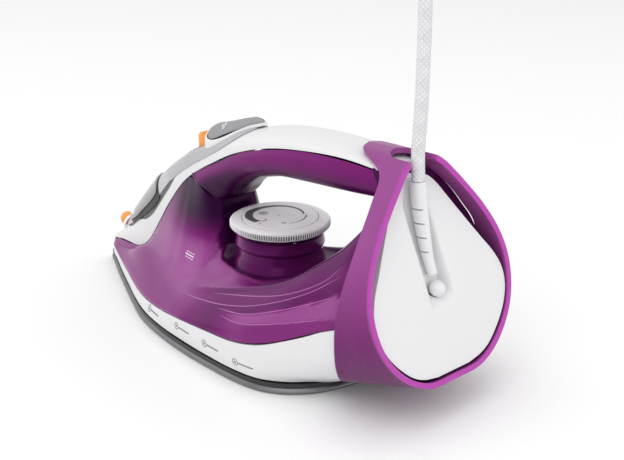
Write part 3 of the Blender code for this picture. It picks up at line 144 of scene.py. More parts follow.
# Tank around and behind the dial, from the column rearwards:
# skirt seam, flank, shoulder crease, ledge, bowl rim, bowl foot, centre line
TANK_REAR = [
    [(13.5, 55.4, 18.8), (13.5, 50.8, 26), (13.5, 43.2, 33), (13.5, 33, 40),
     (13.5, 15.5, 51), (13.5, 8, 50.5), (13.5, 0, 50.5)],
    [(5, 56.8, 19.9), (5, 52.4, 27.2), (5, 44.2, 35), (5, 35, 40.5),
     (4, 25.5, 48), (4, 20, 46.4), (4, 0, 46.2)],
    [(-8, 58, 21.1), (-8, 54, 28.8), (-8, 45.2, 38), (-9, 37.5, 42),
     (-10, 28.4, 47.2), (-10, 25.5, 46.6), (-10, 0, 46.6)],
    [(-22, 59, 22.4), (-22, 55.2, 31), (-22, 45.8, 41.5), (-23, 40, 45),
     (-24, 31.6, 48), (-24, 28, 47), (-24, 0, 47)],
    [(-38, 59.8, 24.0), (-38, 56, 33.5), (-38, 46, 46.0), (-38.5, 42, 49.2),
     (-39, 34.4, 50.8), (-39, 30, 48), (-39, 0, 47.6)],
    [(-55, 59.3, 26.8), (-55, 55.8, 37.5), (-55, 46, 52.2), (-55.5, 42.5, 55.6),
     (-56, 36.6, 57.0), (-56, 30, 51.5), (-56, 0, 49)],
    [(-72, 56.8, 32.2), (-72, 54, 43.5), (-72, 45.5, 60.4), (-72.5, 42.2, 63.8),
     (-73, 37.6, 65.0), (-73, 31, 58), (-73, 0, 52)],
    [(-88, 53.6, 39.6), (-88, 51.2, 51.5), (-88, 43.6, 70.2), (-88, 40.4, 74.2),
     (-88, 36.8, 75.6), (-88, 30, 69), (-88, 0, 63)],
    [(-101, 51.5, 46.2), (-101, 49.4, 59), (-101, 41, 80.4), (-101, 37.6, 84.6),
     (-101, 34, 86.2), (-101, 28, 81), (-101, 0, 78)],
    [(-112, 49.6, 51.4), (-112, 48.6, 66), (-111.5, 38.8, 90.4), (-111, 35, 94.9),
     (-110.5, 31, 96.9), (-110, 25, 96), (-110, 0, 95)],
    [(-121, 47.8, 56.8), (-120.6, 47.6, 72), (-117, 35.5, 97), (-116, 31, 101.5),
     (-114, 27, 103.5), (-113, 20, 104), (-113, 0, 104)],
]

# Lower handle shell, from its seam with the tank over the finger opening to the heel:
# cover seam, upper side, side, lower side, palm edge, centre line
HANDLE_STATIONS = [
    [(44.0, 13.7, 86.3), (36, 16.6, 84.4), (26, 16.6, 80.8), (20, 14.2, 77.9),
     (18, 8.0, 76.8), (18, 0, 76.8)],
    [(42.0, 13.5, 88.2), (33, 16.6, 87), (23, 16.4, 82.8), (17.5, 13.6, 78.9),
     (15.5, 7.6, 77.6), (15.2, 0, 77.4)],
    [(34, 13.7, 92.8), (26, 16.6, 91), (17.5, 16.2, 86), (13.2, 13.0, 82.0),
     (11.6, 7.2, 80.4), (11.2, 0, 80)],
    [(26, 14.1, 96.9), (18.5, 16.8, 95), (12.5, 16.2, 90), (9, 12.8, 86.6),
     (7.6, 7.0, 85.4), (7.2, 0, 85)],
    [(16, 14.5, 102.0), (10.5, 17, 99.8), (6, 16.6, 95), (3, 13, 91.6),
     (1.6, 7.2, 90.2), (1.2, 0, 89.8)],
    [(4.6, 15.1, 107.9), (0.5, 17.2, 105.8), (-3, 17, 101), (-6, 13.8, 97.4),
     (-8, 7.8, 95.6), (-8.4, 0, 95)],
    [(-8, 15.6, 113.0), (-11, 17.6, 110.8), (-14, 17.8, 106), (-17.5, 15, 101.8),
     (-19.6, 8.8, 99.6), (-20, 0, 98.8)],
    [(-23.5, 16, 117.5), (-25.5, 17.8, 114.8), (-27.5, 17.8, 109.6), (-29.5, 15, 105),
     (-31, 8.8, 102.4), (-31.4, 0, 101.6)],
    [(-52, 16, 123.0), (-52, 17.8, 117.6), (-52, 17.8, 112), (-52, 15, 107.3),
     (-52, 8.8, 104.3), (-52, 0, 103.4)],
    [(-84, 15.6, 125.0), (-84, 17.4, 119.4), (-84, 17.4, 113.9), (-84, 14.6, 109.4),
     (-84, 8.6, 106.6), (-84, 0, 105.7)],
    [(-110, 13.0, 123.4), (-110, 14.8, 119.2), (-110, 14.8, 114.8), (-110, 12.6, 111),
     (-110, 7.4, 108.6), (-110, 0, 107.8)],
]

# White cover from the nose tip over the handle: seam (x, y, z), then crest (x, z)
COVER_LINES = [
    ((145.6, 2.0, 16.3), (147.0, 17.0)), ((138.5, 3.9, 18.0), (142.8, 19.6)),
    ((131.5, 5.3, 19.8), (136.6, 23.6)), ((121.4, 7.1, 21.0), (129.6, 29.6)),
    ((111.0, 8.3, 21.9), (124.4, 35.2)), ((101.6, 9.7, 25.4), (118.3, 41.4)),
    ((93.4, 10.7, 32.0), (111.6, 48.8)), ((82.8, 11.4, 45.3), (99.4, 61.8)),
    ((70.2, 12.2, 61.9), (83.0, 77.4)), ((54.9, 12.9, 78.9), (63.4, 91.4)),
    ((45.1, 13.3, 86.6), (51.6, 98.4)), ((35.1, 13.8, 92.7), (40.6, 103.6)),
    ((25.6, 14.2, 98.0), (30.4, 108.8)), ((4.2, 15.0, 108.9), (7.8, 118.8)),
    ((-24.2, 16.0, 118.4), (-22.2, 127.4)), ((-52.0, 16.0, 123.5), (-51.8, 130.4)),
    ((-84.0, 15.6, 126.2), (-84.0, 129.7)), ((-110.0, 13.0, 124.1), (-110.0, 127.1)),
]

# Heel ring, matched points from the top centre down the left side to the bottom centre
RING_FRONT = [
    (-86.5, 0, 132.8), (-89.5, 7.4, 131.9), (-100, 13.0, 129.3), (-111, 17.8, 124.3),
    (-116.5, 29.5, 112.8), (-119, 38.5, 101.5), (-121, 47.8, 88), (-119, 53, 70.5),
    (-115, 52.3, 53), (-111.6, 48.4, 32), (-107.8, 40.6, 17.8), (-101.5, 24, 11.6),
    (-99, 0, 11.0),
]
RING_REAR = [
    (0, 133.5), (8.6, 132.4), (15.0, 128.4), (21, 122.5), (30, 112.5), (39, 101.5),
    (48.5, 86), (53, 71), (52.2, 55), (46, 41), (33, 28), (19, 21.8), (0, 21),
]
# Rear cover outline, (half width, height) from the top centre to the bottom centre
REAR_COVER_OUTLINE = [
    (0, 121.6), (8.5, 120.6), (15, 115.5), (21.5, 107.0), (27.5, 98.5), (33.5, 90), (39.5, 81.5),
    (45.2, 73.5), (48.8, 65), (48.8, 56), (44.6, 45.6), (36.5, 36), (27.5, 29.0), (16, 25.4),
    (0, 24.8),
]
# Filler door, and the black sheet below it that is a painted shadow in its gap, as (crest x, half
# width)
DOOR_LINE = [(120.6, 4.6), (119.0, 6.4), (113.0, 8.2), (107.0, 9.0), (100.0, 9.8), (92.0, 10.4),
             (88.6, 10.2), (88.0, 9.0)]
DOOR_GAP_SHADOW = [(121.2, 4.8), (119.4, 7.0), (113.0, 9.0), (107.0, 9.9), (100.0, 10.7), (92.0, 11.3),
            (87.4, 11.2), (86.6, 9.6)]
COVER_POWER = 2.3       # roundness of the cover's cross-section
ACROSS = 6              # samples for each span of the cover's table

# Lines moulded into the tank's flank, from front to rear as (x, z) seen from the side
FLANK_LINES = [
    [(-12, 38.2), (-52.7, 49.5), (-78, 59.1), (-99.8, 71.7), (-110.5, 82.6)],
    [(22, 28.8), (-29.8, 38.1), (-56.3, 46.5), (-90.5, 63.1), (-112.0, 78.2)],
    [(-24, 35.0), (-47, 39.2), (-71.1, 48.3), (-93.1, 58.5), (-113.3, 69.1)],
    [(-30, 33.0), (-47, 34.6), (-74, 42.7), (-108.8, 55.6)],
]
# Colours of the tinted tank, from its deepest painted shade to its brightest painted highlight
PURPLE_LIGHT_AND_SHADE = [
    (0.0, (0.010, 0.0003, 0.016)), (0.22, (0.060, 0.004, 0.055)), (0.5, (0.165, 0.012, 0.135)),
    (0.78, (0.30, 0.075, 0.26)), (1.0, (0.50, 0.07, 0.44)),
]


# ---------------------------------------------------------------- materials

def mix_colours(tree, factor, first, second):
    """Mix node of two colours or colour sockets; returns its colour output."""
    node = tree.nodes.new("ShaderNodeMix")
    node.data_type = "RGBA"
    for socket, value in ((node.inputs[0], factor), (node.inputs[6], first),
                          (node.inputs[7], second)):
        if isinstance(value, bpy.types.NodeSocket):
            tree.links.new(value, socket)
        elif isinstance(value, tuple):
            socket.default_value = (*value, 1.0)
        else:
            socket.default_value = value
    return node.outputs[2]


def remap(tree, value, low, high, to_low, to_high):
    """Map Range node; returns its output."""
    node = tree.nodes.new("ShaderNodeMapRange")
    for name, number in (("From Min", low), ("From Max", high), ("To Min", to_low),
                         ("To Max", to_high)):
        node.inputs[name].default_value = number
    tree.links.new(value, node.inputs["Value"])
    return node.outputs["Result"]


def noise_of(tree, coords, scale, detail=3.0):
    """Noise texture over the coordinates; returns its value."""
    node = tree.nodes.new("ShaderNodeTexNoise")
    node.inputs["Scale"].default_value = scale
    node.inputs["Detail"].default_value = detail
    tree.links.new(coords, node.inputs["Vector"])
    return node.outputs[0]


def moulded(name, colour, roughness, tint=0.06, grain=900.0, bump=0.03, coat=0.0, metallic=0.0,
            zones=None, edge_highlight=0.06, clear=0.0):
    """Moulded plastic or metal: cloudy tint, fine grain, uneven gloss, painted highlight on edges.

    zones is (axis, low, high, colour at low): the colour changes along an axis of the object.
    """
    made = bpy.data.materials.new(name)
    made.use_nodes = True
    tree = made.node_tree
    shader = tree.nodes["Principled BSDF"]
    coords = tree.nodes.new("ShaderNodeTexCoord").outputs["Object"]
    cloud = noise_of(tree, coords, 22.0)
    base = colour
    for axis, low, high, other in zones or []:
        parts = tree.nodes.new("ShaderNodeSeparateXYZ")
        tree.links.new(coords, parts.inputs[0])
        place = remap(tree, parts.outputs[axis], low, high, 1.0, 0.0)
        base = mix_colours(tree, place, base, other)
    deep = tuple(value * (1 - tint) for value in colour)
    strength = remap(tree, cloud, 0.35, 0.65, 0.0, tint * 4)
    base = mix_colours(tree, strength, base, deep)
    # Painted highlight: sharp convex edges are lightened
    pointed = tree.nodes.new("ShaderNodeNewGeometry").outputs["Pointiness"]
    edge = remap(tree, pointed, 0.52, 0.62, 0.0, edge_highlight)
    base = mix_colours(tree, edge, base, tuple(min(value * 1.6 + 0.1, 1.0) for value in colour))
    tree.links.new(base, shader.inputs["Base Color"])
    gloss = remap(tree, noise_of(tree, coords, 60.0), 0.3, 0.7, roughness * 0.85,
                  roughness * 1.15)
    tree.links.new(gloss, shader.inputs["Roughness"])
    fine = noise_of(tree, coords, grain, 2.0)
    rough = tree.nodes.new("ShaderNodeBump")
    rough.inputs["Strength"].default_value = bump
    rough.inputs["Distance"].default_value = 0.0002
    tree.links.new(fine, rough.inputs["Height"])
    tree.links.new(rough.outputs[0], shader.inputs["Normal"])
    shader.inputs["Metallic"].default_value = metallic
    shader.inputs["Coat Weight"].default_value = coat
    shader.inputs["Coat Roughness"].default_value = 0.06
    shader.inputs["Transmission Weight"].default_value = clear
    return made


def purple_with_painted_light(name, roughness, coat):
    """Purple plastic whose colour follows the painted light and shade stored on the mesh."""
    made = moulded(name, PURPLE_LIGHT_AND_SHADE[2][1], roughness, coat=coat, edge_highlight=0.0)
    made.node_tree.nodes["Principled BSDF"].inputs["Specular IOR Level"].default_value = 0.35
    made.node_tree.nodes["Principled BSDF"].inputs["Specular Tint"].default_value = (
        0.75, 0.15, 0.70, 1.0)
    tree = made.node_tree
    painted_light_and_shade = tree.nodes.new("ShaderNodeAttribute")
    painted_light_and_shade.attribute_name = "painted_light_and_shade"
    cloud = noise_of(tree, tree.nodes.new("ShaderNodeTexCoord").outputs["Object"], 14.0)
    add = tree.nodes.new("ShaderNodeMath")
    add.operation = "ADD"
    tree.links.new(painted_light_and_shade.outputs["Fac"], add.inputs[0])
    tree.links.new(remap(tree, cloud, 0.3, 0.7, -0.012, 0.012), add.inputs[1])
    # Ramp from the deepest painted shade to the brightest painted highlight
    ramp = tree.nodes.new("ShaderNodeValToRGB")
    stops = ramp.color_ramp.elements
    while len(stops) < len(PURPLE_LIGHT_AND_SHADE):
        stops.new(0.5)
    for stop, (place, colour) in zip(stops, PURPLE_LIGHT_AND_SHADE):
        stop.position = place
    for stop, (place, colour) in zip(stops, PURPLE_LIGHT_AND_SHADE):
        stop.color = (*colour, 1.0)
    tree.links.new(add.outputs[0], ramp.inputs[0])
    tree.links.new(ramp.outputs[0], made.node_tree.nodes["Principled BSDF"].inputs["Base Color"])
    return made


def braid(name):
    """White braided textile with a grey fleck in every other strand, laid out by UV."""
    made = moulded(name, (0.82, 0.82, 0.83), 0.8, bump=0.2, edge_highlight=0.0)
    tree = made.node_tree
    shader = tree.nodes["Principled BSDF"]
    uv = tree.nodes.new("ShaderNodeTexCoord").outputs["UV"]
    heights = []
    for angle in (math.radians(45), math.radians(-45)):
        turn = tree.nodes.new("ShaderNodeMapping")
        turn.inputs["Rotation"].default_value = (0, 0, angle)
        tree.links.new(uv, turn.inputs["Vector"])
        wave = tree.nodes.new("ShaderNodeTexWave")
        wave.inputs["Scale"].default_value = 0.45
        tree.links.new(turn.outputs[0], wave.inputs["Vector"])
        heights.append(wave.outputs[1])
    product = tree.nodes.new("ShaderNodeMath")
    product.operation = "MULTIPLY"
    tree.links.new(heights[0], product.inputs[0])
    tree.links.new(heights[1], product.inputs[1])
    # Painted shade: the hollows between the strands are darker
    valley_shade = remap(tree, product.outputs[0], 0.05, 0.6, 1.0, 0.0)
    colour = mix_colours(tree, valley_shade, (0.84, 0.84, 0.85), (0.68, 0.68, 0.70))
    fleck = tree.nodes.new("ShaderNodeTexChecker")
    fleck.inputs["Scale"].default_value = 1.0
    skew = tree.nodes.new("ShaderNodeMapping")
    skew.inputs["Rotation"].default_value = (0, 0, math.radians(45))
    skew.inputs["Scale"].default_value = (0.35, 0.35, 1.0)
    tree.links.new(uv, skew.inputs["Vector"])
    tree.links.new(skew.outputs[0], fleck.inputs["Vector"])
    mark = remap(tree, fleck.outputs[1], 0.0, 1.0, 0.0, 0.16)
    colour = mix_colours(tree, mark, colour, (0.42, 0.42, 0.44))
    tree.links.new(colour, shader.inputs["Base Color"])
    weave = tree.nodes.new("ShaderNodeBump")
    weave.inputs["Strength"].default_value = 0.6
    weave.inputs["Distance"].default_value = 0.0004
    tree.links.new(product.outputs[0], weave.inputs["Height"])
    tree.links.new(weave.outputs[0], shader.inputs["Normal"])
    return made


def make_finishes():
    """One procedural material for each slot of the record, and a few for the prints."""
    return {
        "white_plastic": moulded("white_plastic", (0.76, 0.76, 0.77), 0.34, tint=0.008, coat=0.1),
        "purple_plastic": purple_with_painted_light("purple_plastic", 0.3, 0.0),
        "tank_plastic": purple_with_painted_light("tank_plastic", 0.17, 0.02),
        # Pale purple for the painted highlights along the tank's moulded lines
        "flank_line_highlight": moulded("flank_line_highlight", (0.40, 0.11, 0.35), 0.3, edge_highlight=0.0),
        "grey_plastic": moulded("grey_plastic", (0.29, 0.29, 0.30), 0.42),
        "pale_plastic": moulded("pale_plastic", (0.84, 0.81, 0.84), 0.33, coat=0.1),
        "door_plastic": moulded("door_plastic", (0.30, 0.30, 0.315), 0.2, coat=0.3),
        "strip_plastic": moulded("strip_plastic", (0.44, 0.44, 0.46), 0.3, coat=0.2),
        "orange_plastic": moulded("orange_plastic", (0.90, 0.33, 0.05), 0.32, coat=0.2),
        "black_plastic": moulded("black_plastic", (0.016, 0.016, 0.017), 0.4, grain=1500),
        "clear_plastic": moulded("clear_plastic", (0.50, 0.50, 0.52), 0.2, coat=0.2),
        "soleplate": moulded("soleplate", (0.20, 0.20, 0.21), 0.36, metallic=0.8, bump=0.08),
        "aluminium": moulded("aluminium", (0.60, 0.60, 0.61), 0.5, metallic=1.0, bump=0.2),
        "steel": moulded("steel", (0.56, 0.56, 0.57), 0.3, metallic=1.0, bump=0.06),
        "rubber": moulded("rubber", (0.09, 0.09, 0.095), 0.75, bump=0.15),
        "textile": braid("textile"),
        "print_grey": moulded("print_grey", (0.08, 0.08, 0.085), 0.5, edge_highlight=0.0),
        "print_white": moulded("print_white", (0.85, 0.85, 0.86), 0.4, edge_highlight=0.0),
        "dark_grey": moulded("dark_grey", (0.10, 0.10, 0.105), 0.4),
    }


# ---------------------------------------------------------------- mesh helpers

def piece(name, shape, slot, body="iron", replaces=(), angle=35, finish=None):
    """Object from a bmesh, with its finish, riding on a body and standing for CAD nodes."""
    mesh = bpy.data.meshes.new(name)
    shape.to_mesh(mesh)
    shape.free()
    mesh.shade_smooth()
    mesh.set_sharp_from_angle(angle=math.radians(angle))
    made = bpy.data.objects.new(name, mesh)
    bpy.context.scene.collection.objects.link(made)
    mesh.materials.append(FINISHES[finish or slot])
    if replaces:
        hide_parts(*replaces)
    if body:
        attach(made, body)
    return made


def freeze(made, angle=35):
    """Apply the modifiers of an object to its mesh."""
    bpy.context.view_layer.update()
    graph = bpy.context.evaluated_depsgraph_get()
    mesh = bpy.data.meshes.new_from_object(made.evaluated_get(graph), depsgraph=graph)
    made.modifiers.clear()
    made.data = mesh
    shape = bmesh.new()
    shape.from_mesh(mesh)
    bmesh.ops.dissolve_degenerate(shape, edges=shape.edges, dist=0.004 * MM)
    shape.to_mesh(mesh)
    shape.free()
    mesh.shade_smooth()
    mesh.set_sharp_from_angle(angle=math.radians(angle))
    return made


def carve(made, cutters, angle=35):
    """Cut closed shapes out of an object, then remove them."""
    tools = []
    for shape in cutters:
        mesh = bpy.data.meshes.new("cutter")
        shape.to_mesh(mesh)
        shape.free()
        tool = bpy.data.objects.new("cutter", mesh)
        bpy.context.scene.collection.objects.link(tool)
        difference = made.modifiers.new("cut", "BOOLEAN")
        difference.operation = "DIFFERENCE"
        difference.solver = "EXACT"
        difference.object = tool
        tools.append(tool)
    freeze(made, angle)
    for tool in tools:
        bpy.data.objects.remove(tool, do_unlink=True)
    return made


def paint_light_and_shade(made, field):
    """Store painted light and shade on each vertex, from a function of its place in millimetres."""
    layer = made.data.attributes.new("painted_light_and_shade", "FLOAT", "POINT")
    for vertex in made.data.vertices:
        layer.data[vertex.index].value = field(*(vertex.co / MM))
    return made


def spline(points, steps, closed=False):
    """Centripetal Catmull-Rom curve through the points, with steps samples for each span."""
    points = np.asarray(points, float)
    if closed:
        padded = np.vstack([points[-1], points, points[0], points[1]])
    else:
        padded = np.vstack([2 * points[0] - points[1], points, 2 * points[-1] - points[-2]])
    out = []
    for i in range(1, len(padded) - 2):
        p0, p1, p2, p3 = padded[i - 1:i + 3]
        t0 = 0.0
        t1 = t0 + max(np.linalg.norm(p1 - p0), 1e-6) ** 0.5
        t2 = t1 + max(np.linalg.norm(p2 - p1), 1e-6) ** 0.5
        t3 = t2 + max(np.linalg.norm(p3 - p2), 1e-6) ** 0.5
        for k in range(steps):
            t = t1 + (t2 - t1) * k / steps
            a1 = (t1 - t) / (t1 - t0) * p0 + (t - t0) / (t1 - t0) * p1
            a2 = (t2 - t) / (t2 - t1) * p1 + (t - t1) / (t2 - t1) * p2
            a3 = (t3 - t) / (t3 - t2) * p2 + (t - t2) / (t3 - t2) * p3
            b1 = (t2 - t) / (t2 - t0) * a1 + (t - t0) / (t2 - t0) * a2
            b2 = (t3 - t) / (t3 - t1) * a2 + (t - t1) / (t3 - t1) * a3
            out.append((t2 - t) / (t2 - t1) * b1 + (t - t1) / (t2 - t1) * b2)
    if not closed:
        out.append(points[-1])
    return np.array(out)


def soften(points, radius, steps=4):
    """Polyline with each inner corner rounded by a short Bezier arc."""
    points = [np.asarray(point, float) for point in points]
    out = [points[0]]
    for before, corner, after in zip(points, points[1:], points[2:]):
        ends = []
        for other in (before, after):
            span = np.linalg.norm(other - corner)
            ends.append(corner + (other - corner) * min(radius, span * 0.45) / span)
        for k in range(steps + 1):
            t = k / steps
            out.append((1 - t) ** 2 * ends[0] + 2 * t * (1 - t) * corner + t * t * ends[1])
    out.append(points[-1])
    return out


def net(stations, along, across):
    """Grid of points through a net of stations, smooth in both directions."""
    rows = np.array([spline(station, across) for station in stations])
    return np.stack([spline(rows[:, j], along) for j in range(rows.shape[1])], axis=1)


def with_lip(row, height=1.1):
    """Row of points with a short upright lip added after its first point."""
    x, y, z = row[0]
    return [row[0], (x, y, z + height)] + list(row[1:])


def patch(left, bottom, right, top):
    """Coons patch between four matched edges; left and right run up, bottom and top run across."""
    s = np.linspace(0, 1, len(bottom))[None, :, None]
    t = np.linspace(0, 1, len(left))[:, None, None]
    corners = ((1 - s) * (1 - t) * left[0] + s * (1 - t) * right[0]
               + (1 - s) * t * left[-1] + s * t * right[-1])
    return ((1 - s) * left[:, None] + s * right[:, None]
            + (1 - t) * bottom[None] + t * top[None] - corners)


def add_grid(shape, grid):
    """Add a grid of quads to a bmesh."""
    verts = [[shape.verts.new(Vector(point) * MM) for point in row] for row in grid]
    for upper, lower in zip(verts, verts[1:]):
        for j in range(len(upper) - 1):
            shape.faces.new((upper[j], lower[j], lower[j + 1], upper[j + 1]))


def shell(name, grids, slot, thickness, inside, replaces, angle=35, finish=None):
    """Shell from grids of the left half, mirrored to the right and thickened inwards."""
    shape = bmesh.new()
    for grid in grids:
        add_grid(shape, grid)
        add_grid(shape, grid * np.array([1, -1, 1]))
    bmesh.ops.remove_doubles(shape, verts=shape.verts, dist=0.02 * MM)
    bmesh.ops.dissolve_degenerate(shape, edges=shape.edges, dist=0.01 * MM)
    bmesh.ops.recalc_face_normals(shape, faces=shape.faces)
    centre = Vector(inside) * MM
    facing = sum(face.normal.dot(face.calc_center_median() - centre) * face.calc_area()
                 for face in shape.faces)
    if facing < 0:
        bmesh.ops.reverse_faces(shape, faces=shape.faces)
    made = piece(name, shape, slot, replaces=replaces, angle=angle, finish=finish)
    solid = made.modifiers.new("wall", "SOLIDIFY")
    solid.thickness = thickness * MM
    solid.offset = -1.0
    solid.use_even_offset = True
    solid.thickness_clamp = 0.0
    return made


def loops_shape(loops, ring=False):
    """Bmesh of a closed solid through matched loops, capped with strips or closed as a ring."""
    shape = bmesh.new()
    rings = [[shape.verts.new(Vector(point) * MM) for point in loop] for loop in loops]
    count = len(rings[0])
    pairs = list(zip(rings, rings[1:]))
    if ring:
        pairs.append((rings[-1], rings[0]))
    for lower, upper in pairs:
        for j in range(count):
            k = (j + 1) % count
            shape.faces.new((lower[j], lower[k], upper[k], upper[j]))
    if not ring:
        for cap in (rings[0], rings[-1]):
            shape.faces.new((cap[0], cap[1], cap[-1]))
            for j in range(1, count // 2 - 1):
                shape.faces.new((cap[j], cap[j + 1], cap[-j - 1], cap[-j]))
            j = count // 2
            shape.faces.new((cap[j - 1], cap[j], cap[j + 1]))
    bmesh.ops.recalc_face_normals(shape, faces=shape.faces)
    return shape


def lathe_shape(profile, at, direction=(0, 0, 1), sides=64, radius_of=None):
    """Bmesh of a turned solid: profile of (radius, height) down the outer side."""
    shape = bmesh.new()
    turn = Vector((0, 0, 1)).rotation_difference(Vector(direction).normalized())
    closed = profile[0][0] > 0 and profile[-1][0] > 0
    rings = []
    for r, z in profile:
        if r < 1e-6:
            rings.append([shape.verts.new((Vector(at) + turn @ Vector((0, 0, z))) * MM)])
            continue
        ring = []
        for k in range(sides):
            angle = 2 * math.pi * k / sides
            radius = radius_of(angle, r, z) if radius_of else r
            point = turn @ Vector((radius * math.cos(angle), radius * math.sin(angle), z))
            ring.append(shape.verts.new((Vector(at) + point) * MM))
        rings.append(ring)
    pairs = list(zip(rings, rings[1:]))
    if closed:
        pairs.append((rings[-1], rings[0]))
    for a, b in pairs:
        for j in range(sides):
            k = (j + 1) % sides
            if len(a) == 1:
                shape.faces.new((a[0], b[k], b[j]))
            elif len(b) == 1:
                shape.faces.new((a[j], a[k], b[0]))
            else:
                shape.faces.new((a[j], a[k], b[k], b[j]))
    bmesh.ops.recalc_face_normals(shape, faces=shape.faces)
    return shape


def lathe(name, profile, slot, at, direction=(0, 0, 1), sides=64, body="iron", replaces=(),
          radius=0.5, angle=35, finish=None, radius_of=None):
    """Turned piece whose profile has rounded corners."""
    closed = profile[0][0] > 0 and profile[-1][0] > 0
    if closed:
        middle = tuple((np.array(profile[0]) + np.array(profile[-1])) / 2)
        profile = soften([middle] + list(profile) + [middle], radius)[:-1]
    else:
        profile = soften(profile, radius)
    shape = lathe_shape(profile, at, direction, sides, radius_of)
    return piece(name, shape, slot, body, replaces, angle, finish)


def box_shape(low, high):
    """Bmesh of an axis-aligned box."""
    shape = bmesh.new()
    low = Vector(low) * MM
    high = Vector(high) * MM
    bmesh.ops.create_cube(shape, size=1.0)
    bmesh.ops.scale(shape, vec=high - low, verts=shape.verts)
    bmesh.ops.translate(shape, vec=(low + high) / 2, verts=shape.verts)
    return shape


def slope_box(at, size):
    """Bmesh of a box whose length runs up the nose slope and whose height is normal to it."""
    along = Vector((SLOPE[0], 0, SLOPE[1])).normalized()
    across = Vector((0, 1, 0))
    normal = along.cross(across)
    turn = Matrix((along, across, normal)).transposed()
    shape = bmesh.new()
    bmesh.ops.create_cube(shape, size=1.0)
    bmesh.ops.scale(shape, vec=Vector(size) * MM, verts=shape.verts)
    bmesh.ops.rotate(shape, matrix=turn, verts=shape.verts)
    bmesh.ops.translate(shape, vec=Vector(at) * MM, verts=shape.verts)
    return shape


def surface_of(made):
    """Search tree over an object's final surface."""
    bpy.context.view_layer.update()
    return BVHTree.FromObject(made, bpy.context.evaluated_depsgraph_get())


def bar(u0, v0, u1, v1, width, count=6):
    """Flat bar as a grid of (u, v)."""
    start, end = np.array([u0, v0]), np.array([u1, v1])
    side = np.array([-(end - start)[1], (end - start)[0]])
    side = side / np.linalg.norm(side) * width / 2
    steps = np.linspace(0, 1, count + 1)[:, None]
    line = start + (end - start) * steps
    return np.stack([line - side, line, line + side], axis=1)


def arc(centre, radius, start, sweep, width, end_radius=None, end_width=None, count=32):
    """Flat arc as a grid of (u, v); radius and width may change along it."""
    rows = []
    for k in range(count + 1):
        t = k / count
        angle = math.radians(start + sweep * t)
        r = np.interp(t, np.linspace(0, 1, len(np.atleast_1d(radius))), np.atleast_1d(radius))
        w = np.interp(t, np.linspace(0, 1, len(np.atleast_1d(width))), np.atleast_1d(width))
        ray = np.array([math.cos(angle), math.sin(angle)])
        rows.append([np.array(centre) + ray * (r + w * s) for s in (-0.5, 0.0, 0.5)])
    return np.array(rows)


def printed(name, tree, origin, u_axis, v_axis, grids, slot, finish, body="iron", lift=0.07):
    """Thin raised print: flat grids cast onto a surface along the normal of their plane."""
    shape = bmesh.new()
    origin, u_axis, v_axis = Vector(origin), Vector(u_axis), Vector(v_axis)
    out = u_axis.cross(v_axis).normalized()
    for grid in grids:
        layers = []
        for height in (lift, -0.05):
            layer = []
            for row in grid:
                line = []
                for u, v in row:
                    start = (origin + u_axis * u + v_axis * v + out * 30) * MM
                    place, normal, _, _ = tree.ray_cast(start, -out)
                    if place is None:
                        raise ValueError(name + " misses its surface")
                    line.append(shape.verts.new(place + out * height * MM))
                layer.append(line)
            layers.append(layer)
        top, under = layers
        rows, columns = len(top), len(top[0])
        for i in range(rows - 1):
            for j in range(columns - 1):
                shape.faces.new((top[i][j], top[i + 1][j], top[i + 1][j + 1], top[i][j + 1]))
                shape.faces.new((under[i][j], under[i][j + 1], under[i + 1][j + 1],
                                 under[i + 1][j]))
        border = [(i, 0) for i in range(rows)] + [(rows - 1, j) for j in range(1, columns)]
        border += [(i, columns - 1) for i in range(rows - 2, -1, -1)]
        border += [(0, j) for j in range(columns - 2, 0, -1)]
        for (a, b), (c, d) in zip(border, border[1:] + border[:1]):
            shape.faces.new((top[a][b], under[a][b], under[c][d], top[c][d]))
    bmesh.ops.remove_doubles(shape, verts=shape.verts, dist=0.001 * MM)
    bmesh.ops.recalc_face_normals(shape, faces=shape.faces)
    return piece(name, shape, slot, body, finish=finish)


def mirrored_loop(half, column=1):
    """Closed loop from a half outline that starts and ends on the mid plane."""
    half = np.asarray(half, float)
    other = half[-2:0:-1].copy()
    other[:, column] *= -1
    return np.vstack([half, other])


# ---------------------------------------------------------------- camera, lights and floor

